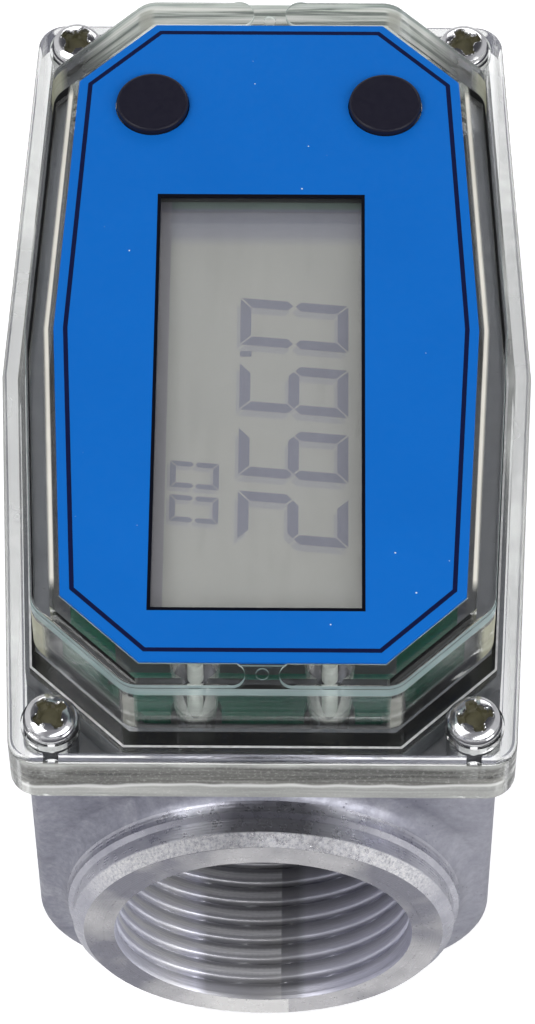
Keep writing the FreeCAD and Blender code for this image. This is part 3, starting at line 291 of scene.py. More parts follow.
def haze_and_highlight_places(n, where, bands):
    """How cloudy the clear cover looks at each place, and in what tone; the cloud is lit by the lamps, and
    its bright bands, lines and spots are painted highlights and its dark bands painted reflections.
    """
    x = n.math("ABSOLUTE", n.axis(where, "X"))
    y = n.math("ABSOLUTE", n.axis(where, "Y"))
    z = n.axis(where, "Z")
    geometry = n.add("NewGeometry")
    tilt = n.math("ABSOLUTE", n.axis(geometry.outputs["Normal"], "Z"))
    outside = n.math("SUBTRACT", 1.0, geometry.outputs["Backfacing"])
    upright = n.between(tilt, 0.35, 0.8, 1.0, 0.0)
    wobble = n.math("ADD", z, n.between(n.noise(where, 0.12, 2.0), 0.3, 0.7, -0.45, 0.45))
    tone = n.ramp(bands, [(0.32, srgb(120, 122, 118)), (0.52, srgb(176, 178, 172)),
                          (0.70, srgb(226, 228, 222))])
    share = 0.0

    def patch(mask, amount, color):
        nonlocal tone, share
        tone = n.mix(mask, tone, color)
        share = n.math("MAXIMUM", share, n.product(mask, amount))

    # skirt: painted highlights on its long sides, then its two ends with a wavy painted light line and
    # painted dark bands
    low_wall = n.between(z, skirt_top - 0.5, skirt_top - 0.1, 1.0, 0.0)
    side_wall = n.product(n.between(x, skirt_high[0] - 3.2, skirt_high[0] - 2.6), low_wall)
    patch(side_wall, 0.42, n.ramp(bands, [(0.34, srgb(140, 140, 138)), (0.50, srgb(200, 201, 198)),
                                          (0.64, srgb(250, 251, 248))]))
    end_tone = n.ramp(n.between(wobble, skirt_top - SKIRT_HEIGHT, skirt_top), [
        (0.02, srgb(172, 173, 169)), (0.27, srgb(180, 181, 177)), (0.31, srgb(232, 233, 230)),
        (0.34, srgb(238, 238, 236)), (0.39, srgb(112, 112, 107)), (0.60, srgb(82, 82, 78)),
        (0.80, srgb(92, 92, 88)), (0.90, srgb(170, 171, 167)), (1.0, srgb(226, 228, 223))])
    speckle = n.between(n.noise(where, 2.4, 4.0, 0.7), 0.52, 0.68, 0.0, 0.30)
    dusty = n.math("ADD", n.between(bands, 0.35, 0.7, 0.0, 0.30), speckle)
    end_tone = n.mix(dusty, end_tone, rgba(srgb(225, 225, 220)))
    end_wall = n.product(n.between(y, skirt_high[1] - 0.7, skirt_high[1] - 0.4), low_wall)
    patch(n.product(end_wall, outside), 0.82, end_tone)

    # tier: painted highlights on its walls at the far end, its top edge, and the strip beside the face
    # film
    toward_rear = n.axis(where, "Y")
    rear = n.product(n.between(toward_rear, 36.0, 40.0), n.between(z, skirt_top, skirt_top + 0.3))
    patch(n.product(rear, upright), 0.55, n.ramp(bands, [
        (0.38, srgb(150, 158, 152)), (0.50, srgb(226, 232, 224)), (0.62, srgb(255, 255, 250))]))
    high = n.product(n.between(z, face_top - 2.1, face_top - 1.8),
                     n.between(toward_rear, 10.0, 24.0, 1.0, 0.25))
    patch(n.product(high, upright), 0.50, rgba(srgb(178, 200, 200)))
    gap = n.math("SUBTRACT", x, n.math("SUBTRACT", HALF_WIDTH, n.product(y, FACE_TAPER)))
    strip = n.product(n.between(gap, 0.45, 0.6), n.between(gap, 0.85, 1.15, 1.0, 0.0),
                      n.between(y, SHOULDER[1] - 2.0, SHOULDER[1] - 0.5, 1.0, 0.0),
                      n.between(z, face_top - 2.6, face_top - 2.3))
    patch(n.product(strip, outside), 0.72, rgba(srgb(252, 248, 236)))

    # thick spots lit up with painted highlights: the tier's corners and shoulders, and the pillars
    for cx, cy, reach, amount, color in (
            (TIER_CORNER[0], TIER_CORNER[1] - 0.3, 1.1, 0.34, srgb(214, 216, 206)),
            (TIER_SHOULDER[0], TIER_SHOULDER[1] - 0.3, 2.6, 0.55, srgb(206, 206, 182)),
            (PILLAR[0], PILLAR[1], 2.75, 0.50, srgb(240, 246, 240))):
        spot = n.add("CombineXYZ", {0: n.math("SUBTRACT", x, cx), 1: n.math("SUBTRACT", y, cy)})
        near = n.between(n.length(spot.outputs[0]), reach * 0.55, reach, 1.0, 0.0)
        below = n.between(z, face_top - 2.6, face_top - 2.2, 1.0, 0.0)
        above = n.between(z, skirt_top - 0.1, skirt_top + 0.2)
        patch(n.product(near, below, above, upright), amount, rgba(color))
    return share, tone


def clear_material(name, tint, edge_tint, roughness=0.03, wave=0.012, wave_scale=0.25, milk=0.012):
    """Moulded clear plastic: faint flow waves, greyer where it is seen edge on, cloudy in places, with
    painted highlights in the cloud.

    The cloud scatters light back, and at the far end lets it through. Shadows fall through the plastic.
    """
    material, n, shader = new_material(name, tint, roughness, Transmission_Weight=1.0, IOR=1.49,
                                       Specular_IOR_Level=0.3)
    where = n.place()
    facing = n.add("LayerWeight", {"Blend": 0.5}).outputs["Facing"]
    color = n.ramp(facing, [(0.12, tint), (0.50, [0.6 * t + 0.4 * e for t, e in zip(tint, edge_tint)]),
                            (0.92, edge_tint)])
    streaks = n.between(n.noise(n.stretch(where, (1.0, 0.12, 0.35)), 0.35, 5.0, 0.6, 0.5), 0.52, 0.72)
    color = n.mix(n.product(streaks, 0.12), color, rgba(edge_tint))
    n.put(shader.inputs["Base Color"], color)
    flow = n.noise(where, wave_scale, 2.0, 0.5, 0.4)
    fine = n.noise(where, 2.2, 3.0)
    n.put(shader.inputs["Normal"], n.bump(n.math("ADD", flow, n.product(fine, 0.06)), wave * MM))
    scuffs = n.between(n.noise(where, 0.6, 4.0), 0.4, 0.75, roughness, roughness * 2.5)
    n.put(shader.inputs["Roughness"], scuffs)
    bands = n.noise(n.stretch(where, (0.10, 0.10, 1.6)), 0.55, 4.0, 0.55, 0.4)
    # the cloud's tone carries painted highlights and reflections
    cloud, tone = haze_and_highlight_places(n, where, bands)
    reflected = n.add("BsdfDiffuse", {"Color": tone})
    passed = n.add("BsdfTranslucent", {"Color": tone})
    far_end = n.between(n.axis(where, "Y"), 30.0, 38.0, 0.0, 0.85)
    haze = n.add("MixShader", {0: far_end, 1: reflected.outputs[0], 2: passed.outputs[0]})
    share = n.math("ADD", n.product(cloud, n.between(bands, 0.3, 0.7, 0.85, 1.15)), milk)
    cloudy = n.add("MixShader", {0: share, 1: shader.outputs[0], 2: haze.outputs[0]})
    pass_light = n.add("BsdfTransparent", {"Color": rgba([0.5 + c * 0.5 for c in tint])})
    shadow = n.add("LightPath").outputs["Is Shadow Ray"]
    blend = n.add("MixShader", {0: shadow, 1: cloudy.outputs[0], 2: pass_light.outputs[0]})
    out = material.node_tree.nodes["Material Output"]
    n.put(out.inputs["Surface"], blend.outputs[0])
    return material


def label_material():
    """Printed film: a slow drift in the blue, sparse dust specks and uneven gloss."""
    material, n, shader = new_material("printed_film", srgb(18, 108, 200), 0.34, Specular_IOR_Level=0.12)
    where = n.place()
    drift = n.noise(where, 0.06, 3.0)
    blue = n.mix(drift, rgba(srgb(20, 110, 202)), rgba(srgb(15, 103, 192)))
    cells = n.add("TexVoronoi", {"Vector": where, "Scale": 0.42})
    speck = n.between(cells.outputs["Distance"], 0.030, 0.045, 1.0, 0.0)
    sparse = n.math("GREATER_THAN", n.noise(where, 0.8, 1.0), 0.56)
    n.put(shader.inputs["Base Color"], n.mix(n.product(speck, sparse), blue, rgba((0.7, 0.78, 0.86))))
    n.put(shader.inputs["Roughness"], n.between(n.noise(where, 1.3, 4.0), 0.3, 0.7, 0.28, 0.42))
    n.put(shader.inputs["Normal"], n.bump(n.noise(where, 3.0, 2.0), 0.003 * MM))
    return material


def board_material():
    """Green laminate: copper tracks under the mask, and weave."""
    material, n, shader = new_material("laminate", roughness=0.35)
    where = n.place()
    bricks = n.add("TexBrick", {"Vector": where, "Scale": 0.45, "Color1": rgba((0.0, 0.0, 0.0)),
                                "Color2": rgba((0.25, 0.25, 0.25)), "Mortar": rgba((1.0, 1.0, 1.0)),
                                "Mortar Size": 0.09, "Mortar Smooth": 0.2})
    tracks = n.add("RGBToBW", {"Color": bricks.outputs["Color"]}).outputs[0]
    weave = n.noise(where, 3.5, 2.0)
    mask = n.mix(n.noise(where, 0.25, 3.0), rgba(srgb(4, 76, 60)), rgba(srgb(3, 52, 44)))
    n.put(shader.inputs["Base Color"], n.mix(n.product(tracks, 0.35), mask, rgba(srgb(28, 104, 80))))
    n.put(shader.inputs["Normal"], n.bump(n.math("ADD", tracks, n.product(weave, 0.2)), 0.03 * MM))
    return material


def display_material():
    """Grey reflective display with painted shadow of the window's edges: a darker far end and a dark strip
    along its left edge.
    """
    material, n, shader = new_material("display_reflector", roughness=0.42, Specular_IOR_Level=0.3)
    where = n.place()
    low, high = span("display_panel")
    from_rear = n.math("SUBTRACT", high[1], n.axis(where, "Y"))
    from_left = n.math("SUBTRACT", n.axis(where, "X"), low[0])
    cloud = n.mix(n.noise(where, 0.09, 2.0), rgba(srgb(140, 139, 136)), rgba(srgb(134, 134, 133)))
    # painted shadow: darker bands towards the far end
    rear = n.ramp(n.between(from_rear, 0.0, 6.0), [
        (0.13, srgb(92, 103, 100)), (0.17, srgb(96, 97, 107)), (0.44, srgb(101, 102, 113)),
        (0.48, srgb(112, 113, 123)), (0.74, srgb(119, 119, 127)), (0.80, srgb(126, 126, 130)),
        (1.0, srgb(137, 137, 135))])
    shaded = n.mix(n.between(from_rear, 5.2, 6.0), rear, cloud)
    # painted shadow: a dark strip along the left edge
    left = n.between(from_left, 3.30, 3.42, 1.0, 0.0)
    shaded = n.mix(n.product(left, 0.8), shaded, rgba(srgb(112, 110, 120)))
    n.put(shader.inputs["Base Color"], shaded)
    n.put(shader.inputs["Roughness"], n.between(n.noise(where, 2.0), 0.3, 0.7, 0.38, 0.48))
    n.put(shader.inputs["Normal"], n.bump(n.noise(where, 8.0, 1.0), 0.002 * MM))
    return material


# ------------------------------------------------------------------ mesh helpers

def make_piece(name, verts, faces, material, body, smooth=None):
    """A mesh piece from millimetre points; smooth is the angle in degrees below which edges are soft."""
    mesh = bpy.data.meshes.new(name)
    mesh.from_pydata([Vector(v) * MM for v in verts], [], faces)
    mesh.validate()
    bm = bmesh.new()
    bm.from_mesh(mesh)
    bmesh.ops.remove_doubles(bm, verts=bm.verts, dist=1e-7)
    bmesh.ops.recalc_face_normals(bm, faces=bm.faces)
    bm.to_mesh(mesh)
    bm.free()
    piece = bpy.data.objects.new(name, mesh)
    bpy.context.scene.collection.objects.link(piece)
    mesh.materials.append(material)
    if smooth is not None:
        mesh.shade_smooth()
        mesh.set_sharp_from_angle(angle=math.radians(smooth))
    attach(piece, body)
    return piece


class Build:
    """Points and faces gathered from several shapes."""

    def __init__(self):
        self.verts = []
        self.faces = []

    def grid(self, rows, close=False):
        """Skin a list of equal rows of points."""
        start = len(self.verts)
        width = len(rows[0])
        for row in rows:
            self.verts.extend(row)
        steps = width if close else width - 1
        for r in range(len(rows) - 1):
            for c in range(steps):
                a = start + r * width + c
                b = start + r * width + (c + 1) % width
                self.faces.append((a, b, b + width, a + width))

    def cap(self, ring):
        start = len(self.verts)
        self.verts.extend(ring)
        self.faces.append(tuple(range(start, start + len(ring))))

    def prism(self, outline, low, high):
        """An upright closed prism over a plan outline."""
        bottom = [(x, y, low) for x, y in outline]
        top = [(x, y, high) for x, y in outline]
        self.grid([bottom, top], close=True)
        self.cap(top)
        self.cap(list(reversed(bottom)))

    def frame(self, outer, inner, low, high):
        """A closed band between two plan outlines of equal length."""
        rings = [[(x, y, low) for x, y in outer], [(x, y, high) for x, y in outer],
                 [(x, y, high) for x, y in inner], [(x, y, low) for x, y in inner]]
        self.grid(rings + rings[:1], close=True)

    def turn(self, profile, centre, steps=48, axis="Z"):
        """A surface of revolution from (radius, height) pairs."""
        rows = []
        for radius, height in profile:
            row = []
            for i in range(steps):
                angle = 2 * math.pi * i / steps
                u, v = radius * math.cos(angle), radius * math.sin(angle)
                point = (u, v, height) if axis == "Z" else (u, height, v)
                row.append(tuple(p + c for p, c in zip(point, centre)))
            rows.append(row)
        self.grid(rows, close=True)


def offset(outline, reach):
    """A closed outline moved outward by reach, corners kept sharp."""
    moved = []
    for i, corner in enumerate(outline):
        here = Vector(corner)
        before = (here - Vector(outline[i - 1])).normalized()
        after = (Vector(outline[(i + 1) % len(outline)]) - here).normalized()
        first = Vector((before.y, -before.x))
        second = Vector((after.y, -after.x))
        half = (first + second).normalized()
        moved.append(tuple(here + half * (reach / half.dot(first))))
    return moved


def four_ways(part):
    """A closed outline from its corners in one quarter, the first of them on the X axis."""
    return (part + [(-x, y) for x, y in reversed(part)]
            + [(-x, -y) for x, y in part[1:]] + [(x, -y) for x, y in reversed(part[1:])])


def rectangle(left, right, low, high):
    return [(left, low), (right, low), (right, high), (left, high)]


# ------------------------------------------------------------------ positions from the frame

label_high = span("face_label")[1]
skirt_low, skirt_high = span("clear_cover")
port_face = span("flow_body")[1][1]
joints = {joint["name"]: joint for joint in frame["record"]["behaviour"]["joints"]}
axis_height = joints["rotor_spin"]["pos_m"][2] / MM
face_top = label_high[2]
SKIRT_HEIGHT = 6.8
skirt_top = skirt_low[2] + SKIRT_HEIGHT

TURNED_FROM = 46.4           # the ports are turned bright beyond this distance from the middle
THREAD_CREST = 15.20         # inside radius of the port threads
PILLAR = (6.7, 38.7)         # the cover's clear pillars, in one quarter
LAND_REACH = 4.55            # from the face film out to the edge of the body's land
SIDE_TAPER = 0.0514          # how far the land's long sides draw in per millimetre
FACE_TAPER = 0.0528          # the same for the face film

HALF_WIDTH, HALF_LENGTH = label_high[:2]
SHOULDER = (HALF_WIDTH - 1.7, HALF_LENGTH - 7.7)
FACE = four_ways([(HALF_WIDTH, 0.0), SHOULDER, (HALF_WIDTH - 9.8, HALF_LENGTH)])
WINDOW = rectangle(-11.25, 9.87, -33.6, 17.0)
TIER_SHOULDER, TIER_CORNER = offset(FACE, 3.0)[1:3]

aluminium = cast_body_material()
thread_metal = thread_material()
clear = clear_material("clear_acrylic", (0.935, 0.945, 0.94), (0.42, 0.43, 0.43))
edge_metal = moulded("land_edge_metal", (0.80, 0.80, 0.82), 0.35, 0.25, 0.05, 6.0)
zinc = turned_metal("zinc_plate", (0.90, 0.90, 0.90), 0.5, 0.006, metallic=0.4)
chrome = turned_metal("nickel_plate", (0.83, 0.83, 0.84), 0.12, 0.006)
rust = moulded("recess_grime", srgb(92, 88, 62), 0.6, 0.45, 0.03, 3.0)
ink = moulded("dark_ink", srgb(16, 24, 66), 0.38, 0.8, 0.002, Specular_IOR_Level=0.12)
black_ink = moulded("window_ink", srgb(10, 12, 24), 0.35, 0.8, 0.002, Specular_IOR_Level=0.12)
segment_on = moulded("display_segment", srgb(100, 100, 114), 0.4, 0.92, 0.001)
segment_shadow = moulded("display_segment_shadow", srgb(126, 126, 130), 0.4, 0.96, 0.001)
key_black = moulded("key_rubber", srgb(31, 30, 43), 0.34, 0.8, 0.004, Specular_IOR_Level=0.18)
seal_black = moulded("seal_rubber", srgb(13, 13, 17), 0.55, 0.8, 0.002, Specular_IOR_Level=0.15)
switch_shell = moulded("switch_shell", srgb(34, 34, 38), 0.5)
plunger_white = moulded("plunger", srgb(210, 210, 204), 0.5)
nylon = moulded("straightener_nylon", srgb(38, 38, 42), 0.5, 0.8, 0.01)
ring_steel = turned_metal("ring_steel", (0.42, 0.42, 0.44), 0.3)

node_materials = {
    "flow_body": aluminium,
    "clear_cover": clear,
    "face_label": label_material(),
    "cover_gasket": seal_black,
    "circuit_board": board_material(),
    "board_screws": turned_metal("board_screw_steel", (0.6, 0.6, 0.6), 0.3),
    "display_panel": display_material(),
    "display_bezel": moulded("bezel_plastic", srgb(60, 62, 64), 0.5),
    "contact_strips": moulded("contact_rubber", srgb(196, 150, 150), 0.6),
    "controller_chip": moulded("chip_resin", srgb(28, 28, 30), 0.55, 0.8, 0.01),
    "pickup_sensor": moulded("sensor_shell", srgb(30, 30, 34), 0.5),
    "battery_tray": moulded("tray_plastic", srgb(70, 70, 72), 0.55),
    "battery_cells": moulded("cell_jacket", srgb(160, 132, 60), 0.3),
    "battery_contacts": turned_metal("contact_steel", (0.72, 0.7, 0.64), 0.3),
    "rotor_shaft": turned_metal("shaft_steel", (0.6, 0.6, 0.61), 0.15),
    "thrust_washers": moulded("washer_plastic", srgb(226, 224, 214), 0.45),
    "display_switch": switch_shell,
    "calibrate_switch": switch_shell,
    "display_plunger": plunger_white,
    "calibrate_plunger": plunger_white,
    "display_button": key_black,
    "calibrate_button": key_black,
    "inlet_straightener": nylon,
    "outlet_straightener": nylon,
    "inlet_retaining_ring": ring_steel,
    "outlet_retaining_ring": ring_steel,
    "turbine_rotor": moulded("rotor_acetal", srgb(226, 224, 214), 0.4, 0.9, 0.006),
    "rotor_bushing": turned_metal("bushing_bronze", (0.6, 0.42, 0.2), 0.35),
    "rotor_magnets": turned_metal("magnet_metal", (0.35, 0.35, 0.36), 0.3),
}
for node, material in node_materials.items():
    slots = frame["nodes"][node].data.materials
    slots.clear()
    slots.append(material)


# ------------------------------------------------------------------ screws

HEAD_RADIUS, HEAD_TOP, WASHER_RADIUS = 2.5, 1.8, 2.75
RECESS_DEPTH, RECESS_ARM, RECESS_HUB = 1.0, 1.8, 1.18
SHANK_CORE, SHANK_RIDGE, SHANK_PITCH = 1.22, 0.26, 0.5
SCREW_SEAT = 1.0             # height of the cover's collars under the washers


def clamped(value):
    return min(1.0, max(0.0, value))


def recess_depth(u, v, radial, rag):
    """How deep the worn cross is at one place of a screw head; rag moves its edge."""
    arm, reach = sorted((abs(u), abs(v)))
    width = 0.50 + rag + 0.22 * max(0.0, 1.0 - reach / RECESS_ARM)
    cross = clamped((width - arm) / 0.16) * clamped((RECESS_ARM + 0.02 + rag - reach) / 0.16)
    hub = clamped((RECESS_HUB + rag - radial) / 0.2)
    return RECESS_DEPTH * max(cross * (1.0 - 0.35 * reach / RECESS_ARM), hub)


def screw_head(build, recess, centre, turn_angle, seed):
    """A pan head with its washer; the floor of its ragged cross recess goes to its own mesh."""
    steps, rings = 72, 26
    cx, cy, base = centre
    rows = []
    sunk = []
    for r in range(rings + 1):
        radial = HEAD_RADIUS * (1 - (1 - r / rings) ** 1.25)
        out = radial / HEAD_RADIUS
        dome = HEAD_TOP - 0.50 * out ** 2 - 1.2 * max(0.0, out - 0.78) ** 1.4
        row, low = [], []
        for s in range(steps):
            angle = 2 * math.pi * s / steps
            x, y = radial * math.cos(angle), radial * math.sin(angle)
            u = x * math.cos(turn_angle) + y * math.sin(turn_angle)
            v = -x * math.sin(turn_angle) + y * math.cos(turn_angle)
            rag = 0.10 * noise.noise(Vector((x * 1.7, y * 1.7, seed)))
            depth = recess_depth(u, v, radial, rag)
            row.append((cx + x, cy + y, base + dome - depth))
            low.append(depth > 0.25)
        rows.append(row)
        sunk.append(low)
    for r in range(rings):
        for s in range(steps):
            t = (s + 1) % steps
            target = recess if sunk[r][s] and sunk[r][t] and sunk[r + 1][s] else build
            start = len(target.verts)
            target.verts.extend([rows[r][s], rows[r][t], rows[r + 1][t], rows[r + 1][s]])
            target.faces.append((start, start + 1, start + 2, start + 3))
    side = [(HEAD_RADIUS, rows[-1][0][2] - base), (HEAD_RADIUS, 0.56), (HEAD_RADIUS + 0.02, 0.44),
            (WASHER_RADIUS - 0.03, 0.39), (WASHER_RADIUS, 0.30), (WASHER_RADIUS, 0.06),
            (WASHER_RADIUS - 0.05, 0.0), (SHANK_CORE + 0.28, 0.0)]
    build.turn(side, centre, steps)


def screw_shank(build, centre, length):
    """A threaded shank below the head, pointed over its last millimetre."""
    cx, cy, base = centre
    steps, per_turn = 40, 6
    rows = []
    count = int(length / SHANK_PITCH * per_turn)
    for r in range(count + 1):
        down = length * r / count
        row = []
        for s in range(steps):
            angle = 2 * math.pi * s / steps
            wave = abs(((down / SHANK_PITCH + s / steps) % 1.0) - 0.5) * 2
            radius = SHANK_CORE + SHANK_RIDGE * wave - max(0.0, down - length + 1.0) * 0.6
            row.append((cx + radius * math.cos(angle), cy + radius * math.sin(angle), base - down))
        rows.append(row)
    build.grid(rows, close=True)
    build.cap(list(reversed(rows[-1])))


def screws():
    """The four cover screws, in place of the plain ones of the CAD node."""
    low, high = span("cover_screws")
    x, y = high[0] - WASHER_RADIUS, high[1] - WASHER_RADIUS
    base = skirt_top + SCREW_SEAT
    heads, grime, shanks = Build(), Build(), Build()
    corners = ((1, 1, 0.35), (-1, 1, 1.0), (-1, -1, 0.62), (1, -1, 0.28))
    for index, (sx, sy, angle) in enumerate(corners):
        centre = (x * sx, y * sy, base)
        screw_head(heads, grime, centre, angle, index * 7.3)
        screw_shank(shanks, centre, base - low[2] - 0.1)
    head = make_piece("screw_heads", heads.verts, heads.faces, chrome, "housing", 40)
    make_piece("screw_recesses", grime.verts, grime.faces, rust, "housing", 30)
    make_piece("screw_shanks", shanks.verts, shanks.faces, zinc, "housing", 40)
    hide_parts("cover_screws")


# ------------------------------------------------------------------ ports

def port_thread(port, side):
    """Inside thread of one port, run out at both ends, and the flat lip round its mouth."""
    pitch, root, mouth, relief, seat = 2.309, 15.95, 15.38, 16.3, 16.65
    length, steps, per_turn = 18.4, 144, 20
    rim = mouth + 0.14
    angles = [2 * math.pi * s / steps for s in range(steps)]

    def point(radius, depth, angle):
        return (radius * math.cos(angle), (port_face - depth) * side,
                axis_height + radius * math.sin(angle))

    rows = [[point(rim, 0.02, angle) for angle in angles]]
    count = int(length / pitch * per_turn)
    for r in range(count + 1):
        depth = length * r / count
        row = []
        for s, angle in enumerate(angles):
            # a broad rounded crest and a narrow root
            away = abs(2 * ((depth / pitch + side * s / steps) % 1.0) - 1)
            wave = 1.0 - 0.3 * away ** 2 - 0.7 * max(0.0, (away - 0.7) / 0.3) ** 1.2
            radius = root - (root - THREAD_CREST) * wave
            lead = min(1.0, depth)
            radius = mouth * (1 - lead) + radius * lead
            tail = min(1.0, max(0.0, (length - depth) / 1.2))
            radius = relief * (1 - tail) + radius * tail
            row.append(point(radius, depth + 0.34, angle))
        rows.append(row)
    thread = Build()
    thread.grid(rows, close=True)
    make_piece(port + "_thread", thread.verts, thread.faces, thread_metal, "housing", 50)

    outer, inner = port_face * side, (port_face - 0.5) * side
    lip = Build()
    lip.turn([(seat, outer), (rim, outer), (rim, inner), (seat, inner)],
             (0.0, 0.0, axis_height), steps, "Y")
    make_piece(port + "_lip", lip.verts, lip.faces, aluminium, "housing", 30)


# ------------------------------------------------------------------ face

def face_print():
    """Dark inset line that follows the face, and the border round the window."""
    inset, width, proud = 0.98, 0.47, 0.012
    line = Build()
    outline = [(x, y + 0.2) for x, y in FACE]
    line.frame(offset(outline, -inset), offset(outline, -inset - width), face_top - 0.05, face_top + proud)
    make_piece("face_line", line.verts, line.faces, ink, "housing")
    border = Build()
    border.frame(offset(WINDOW, 0.34), offset(WINDOW, -0.02), face_top - 0.28, face_top + proud)
    make_piece("window_border", border.verts, border.faces, black_ink, "housing")


def figure(build, digit, origin, width, height, half, low, high, slant=0.09):
    """A seven-segment digit of mitred bars: its top points to +X and it reads towards -Y."""
    lit = {"0": "abcdef", "2": "abged", "9": "abcdfg"}[digit]
    gap, mid, thick = half * 0.22, height / 2, 2 * half
    right = width + half
    upright = [(-half, -half + gap), (half, half + gap), (half, mid - half - gap), (0.0, mid - gap),
               (-half, mid - half - gap)]
    level = [(-half + gap, -half), (right - gap, -half), (right - gap - thick, half),
             (-half + gap + thick, half)]
    bars = {"e": upright, "f": [(u, height - v) for u, v in upright],
            "c": [(width - u, v) for u, v in upright], "b": [(width - u, height - v) for u, v in upright],
            "d": level, "a": [(u, height - v) for u, v in level],
            "g": [(gap, mid), (half + gap, mid + half), (width - half - gap, mid + half),
                  (width - gap, mid), (width - half - gap, mid - half), (half + gap, mid - half)]}
    for name in lit:
        plan = [(origin[0] + v, origin[1] - u - v * slant) for u, v in bars[name]]
        build.prism(plan, low, high)


def display_figures():
    """Plain numerals on the display, with the paler shadow they cast on its reflector."""
    top = span("display_panel")[1][2]
    on, shadow = Build(), Build()
    # for each line of figures: its digits with their y, its x, the digits' width, height and half
    # a bar's thickness, and how far the shadow is shifted
    large = ((("0", 4.75), ("9", -3.35), ("9", -11.35), ("2", -19.1)),
             -2.15, (4.75, 10.1, 0.56), (-0.35, -0.75))
    small = ((("0", -15.2), ("0", -19.3)), -9.35, (2.6, 4.4, 0.30), (-0.3, -0.45))
    for digits, x, sizes, (dx, dy) in (large, small):
        for digit, y in digits:
            figure(shadow, digit, (x + dx, y + dy), *sizes, top + 0.004, top + 0.008)
            figure(on, digit, (x, y), *sizes, top + 0.010, top + 0.020)
    on.prism(rectangle(-2.7, -1.5, -2.05, -1.35), top + 0.010, top + 0.020)
    make_piece("display_figures", on.verts, on.faces, segment_on, "housing")
    make_piece("display_shadows", shadow.verts, shadow.faces, segment_shadow, "housing")


def land_outline(reach, half_width):
    """The face outline moved outward, with long sides that follow the body's taper."""
    shoulder, corner = offset(FACE, reach)[1:3]
    share = ((half_width - SIDE_TAPER * shoulder[1] - shoulder[0])
             / (corner[0] - shoulder[0] + SIDE_TAPER * (corner[1] - shoulder[1])))
    side = tuple(s + share * (c - s) for s, c in zip(shoulder, corner))
    return four_ways([(half_width, 0.0), side, corner])


def land_edge():
    """The bright cast edge of the land that shows round the seal."""
    seal = span("cover_gasket")[1]
    inset, end_width, side_width = 0.17, 0.24, 0.22
    edge = Build()
    edge.frame(land_outline(LAND_REACH - inset, seal[0]),
               land_outline(LAND_REACH - inset - end_width, seal[0] - side_width),
               seal[2] - 0.3, seal[2] + 0.03)
    make_piece("land_edge", edge.verts, edge.faces, edge_metal, "housing")


land_edge()
screws()
port_thread("inlet", -1)
port_thread("outlet", 1)
face_print()
display_figures()


# ------------------------------------------------------------------ stage

def area_light(name, place, target, size, power):
    light = bpy.data.lights.new(name, "AREA")
    light.shape = "RECTANGLE"
    light.size, light.size_y = size
    light.energy = power
    lamp = bpy.data.objects.new(name, light)
    bpy.context.scene.collection.objects.link(lamp)
    lamp.location = place
    lamp.rotation_euler = (Vector(target) - Vector(place)).to_track_quat("-Z", "Y").to_euler()


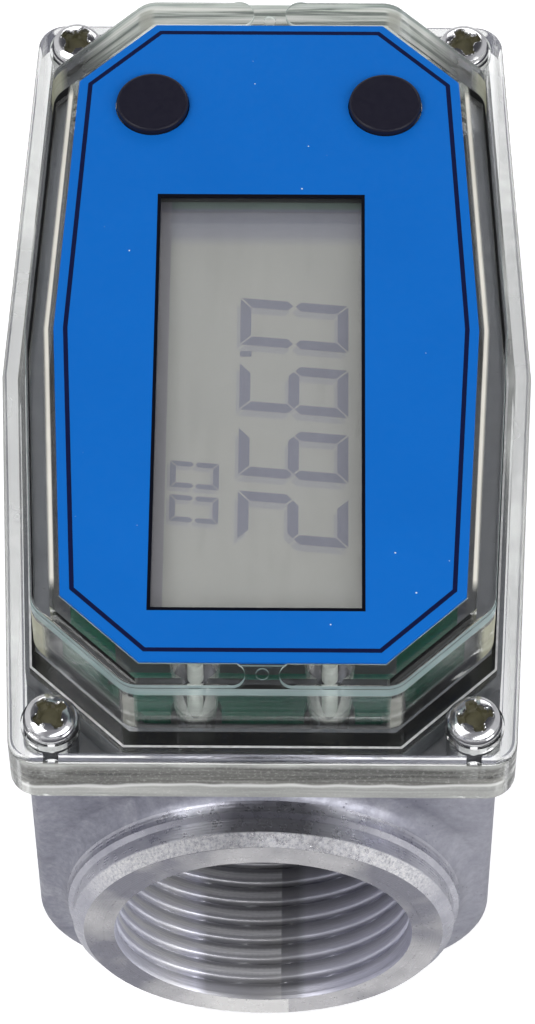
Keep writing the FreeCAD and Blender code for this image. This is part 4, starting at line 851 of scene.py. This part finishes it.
def stage():
    """A pale floor that lies white in the picture, a soft studio sky and four lamps."""
    mesh = bpy.data.meshes.new("floor")
    half = 3.0
    corners = [(x, y, 0.0) for x, y in rectangle(-half, half, -half, half)]
    mesh.from_pydata(corners, [], [(0, 1, 2, 3)])
    floor = bpy.data.objects.new("floor", mesh)
    floor.location.z = -0.0002
    bpy.context.scene.collection.objects.link(floor)
    material, n, shader = new_material("pale_floor", (0.86, 0.86, 0.86), 0.7)
    mesh.materials.append(material)
    # the floor glows for the camera, more with distance, so that it meets the white background
    path = n.add("LightPath")
    distance = n.length(n.place())
    seen = n.product(path.outputs["Is Camera Ray"], n.between(distance, 300.0, 900.0, 0.55, 1.0))
    bounce = n.math("MAXIMUM", seen, n.product(path.outputs["Is Transmission Ray"], 0.34))
    glow = n.add("Emission", {"Color": rgba((1.0, 1.0, 1.0)), "Strength": bounce})
    total = n.add("AddShader", {0: shader.outputs[0], 1: glow.outputs[0]})
    n.put(material.node_tree.nodes["Material Output"].inputs["Surface"], total.outputs[0])

    world = bpy.data.worlds.new("studio")
    world.use_nodes = True
    bpy.context.scene.world = world
    n = Nodes(world.node_tree)
    background = world.node_tree.nodes["Background"]
    direction = n.add("TexCoord").outputs["Generated"]
    side = n.between(n.math("ABSOLUTE", n.axis(direction, "X")), 0.25, 0.75)
    left = n.between(n.axis(direction, "X"), -0.2, -0.7)
    rear_sky = n.add("VectorMath", {0: direction, 1: (0.0, 0.54, 0.84)}, operation="DOT_PRODUCT")
    dark_sky = n.between(rear_sky.outputs["Value"], 0.72, 0.90)
    studio = n.mix(side, rgba((0.30, 0.30, 0.32)), rgba((0.58, 0.58, 0.60)))
    studio = n.mix(n.product(left, 0.5), studio, rgba((0.85, 0.85, 0.86)))
    studio = n.mix(dark_sky, studio, rgba((0.06, 0.06, 0.07)))
    path = n.add("LightPath")
    seen = n.math("MAXIMUM", path.outputs["Is Camera Ray"], path.outputs["Is Transmission Ray"])
    n.put(background.inputs["Color"], n.mix(seen, studio, rgba((1.0, 1.0, 1.0))))
    background.inputs["Strength"].default_value = 1.0

    middle, near_port = (0, 0, 0.04), (0, -0.04, 0.02)
    area_light("key_lamp", (-0.45, -0.15, 0.75), middle, (0.5, 0.5), 2.9)
    area_light("fill_lamp", (0.55, -0.35, 0.40), middle, (0.35, 0.5), 1.5)
    area_light("port_lamp", (0.24, -0.50, 0.56), near_port, (0.58, 0.16), 1.1)
    area_light("rear_lamp", (0.05, 0.75, 0.36), middle, (0.8, 0.3), 1.6)


def camera():
    """The photograph's view from above the near port, with its slight roll."""
    data = bpy.data.cameras.new("camera")
    data.lens = 163.72
    data.sensor_width = 36.0
    data.clip_start = 0.01
    data.clip_end = 20.0
    eye = Vector((4.659, -274.051, 453.796)) * MM
    target = Vector((0.35, -22.3, 57.9)) * MM
    back = (eye - target).normalized()
    right = Vector((0, 0, 1)).cross(back).normalized()
    up = back.cross(right)
    roll = math.radians(-0.51)
    tilted_right = right * math.cos(roll) + up * math.sin(roll)
    tilted_up = up * math.cos(roll) - right * math.sin(roll)
    obj = bpy.data.objects.new("camera", data)
    bpy.context.scene.collection.objects.link(obj)
    turn = Matrix((tilted_right, tilted_up, back)).transposed()
    obj.matrix_world = Matrix.Translation(eye) @ turn.to_4x4()
    bpy.context.scene.camera = obj


stage()
camera()
bpy.context.scene.view_settings.view_transform = "Standard"
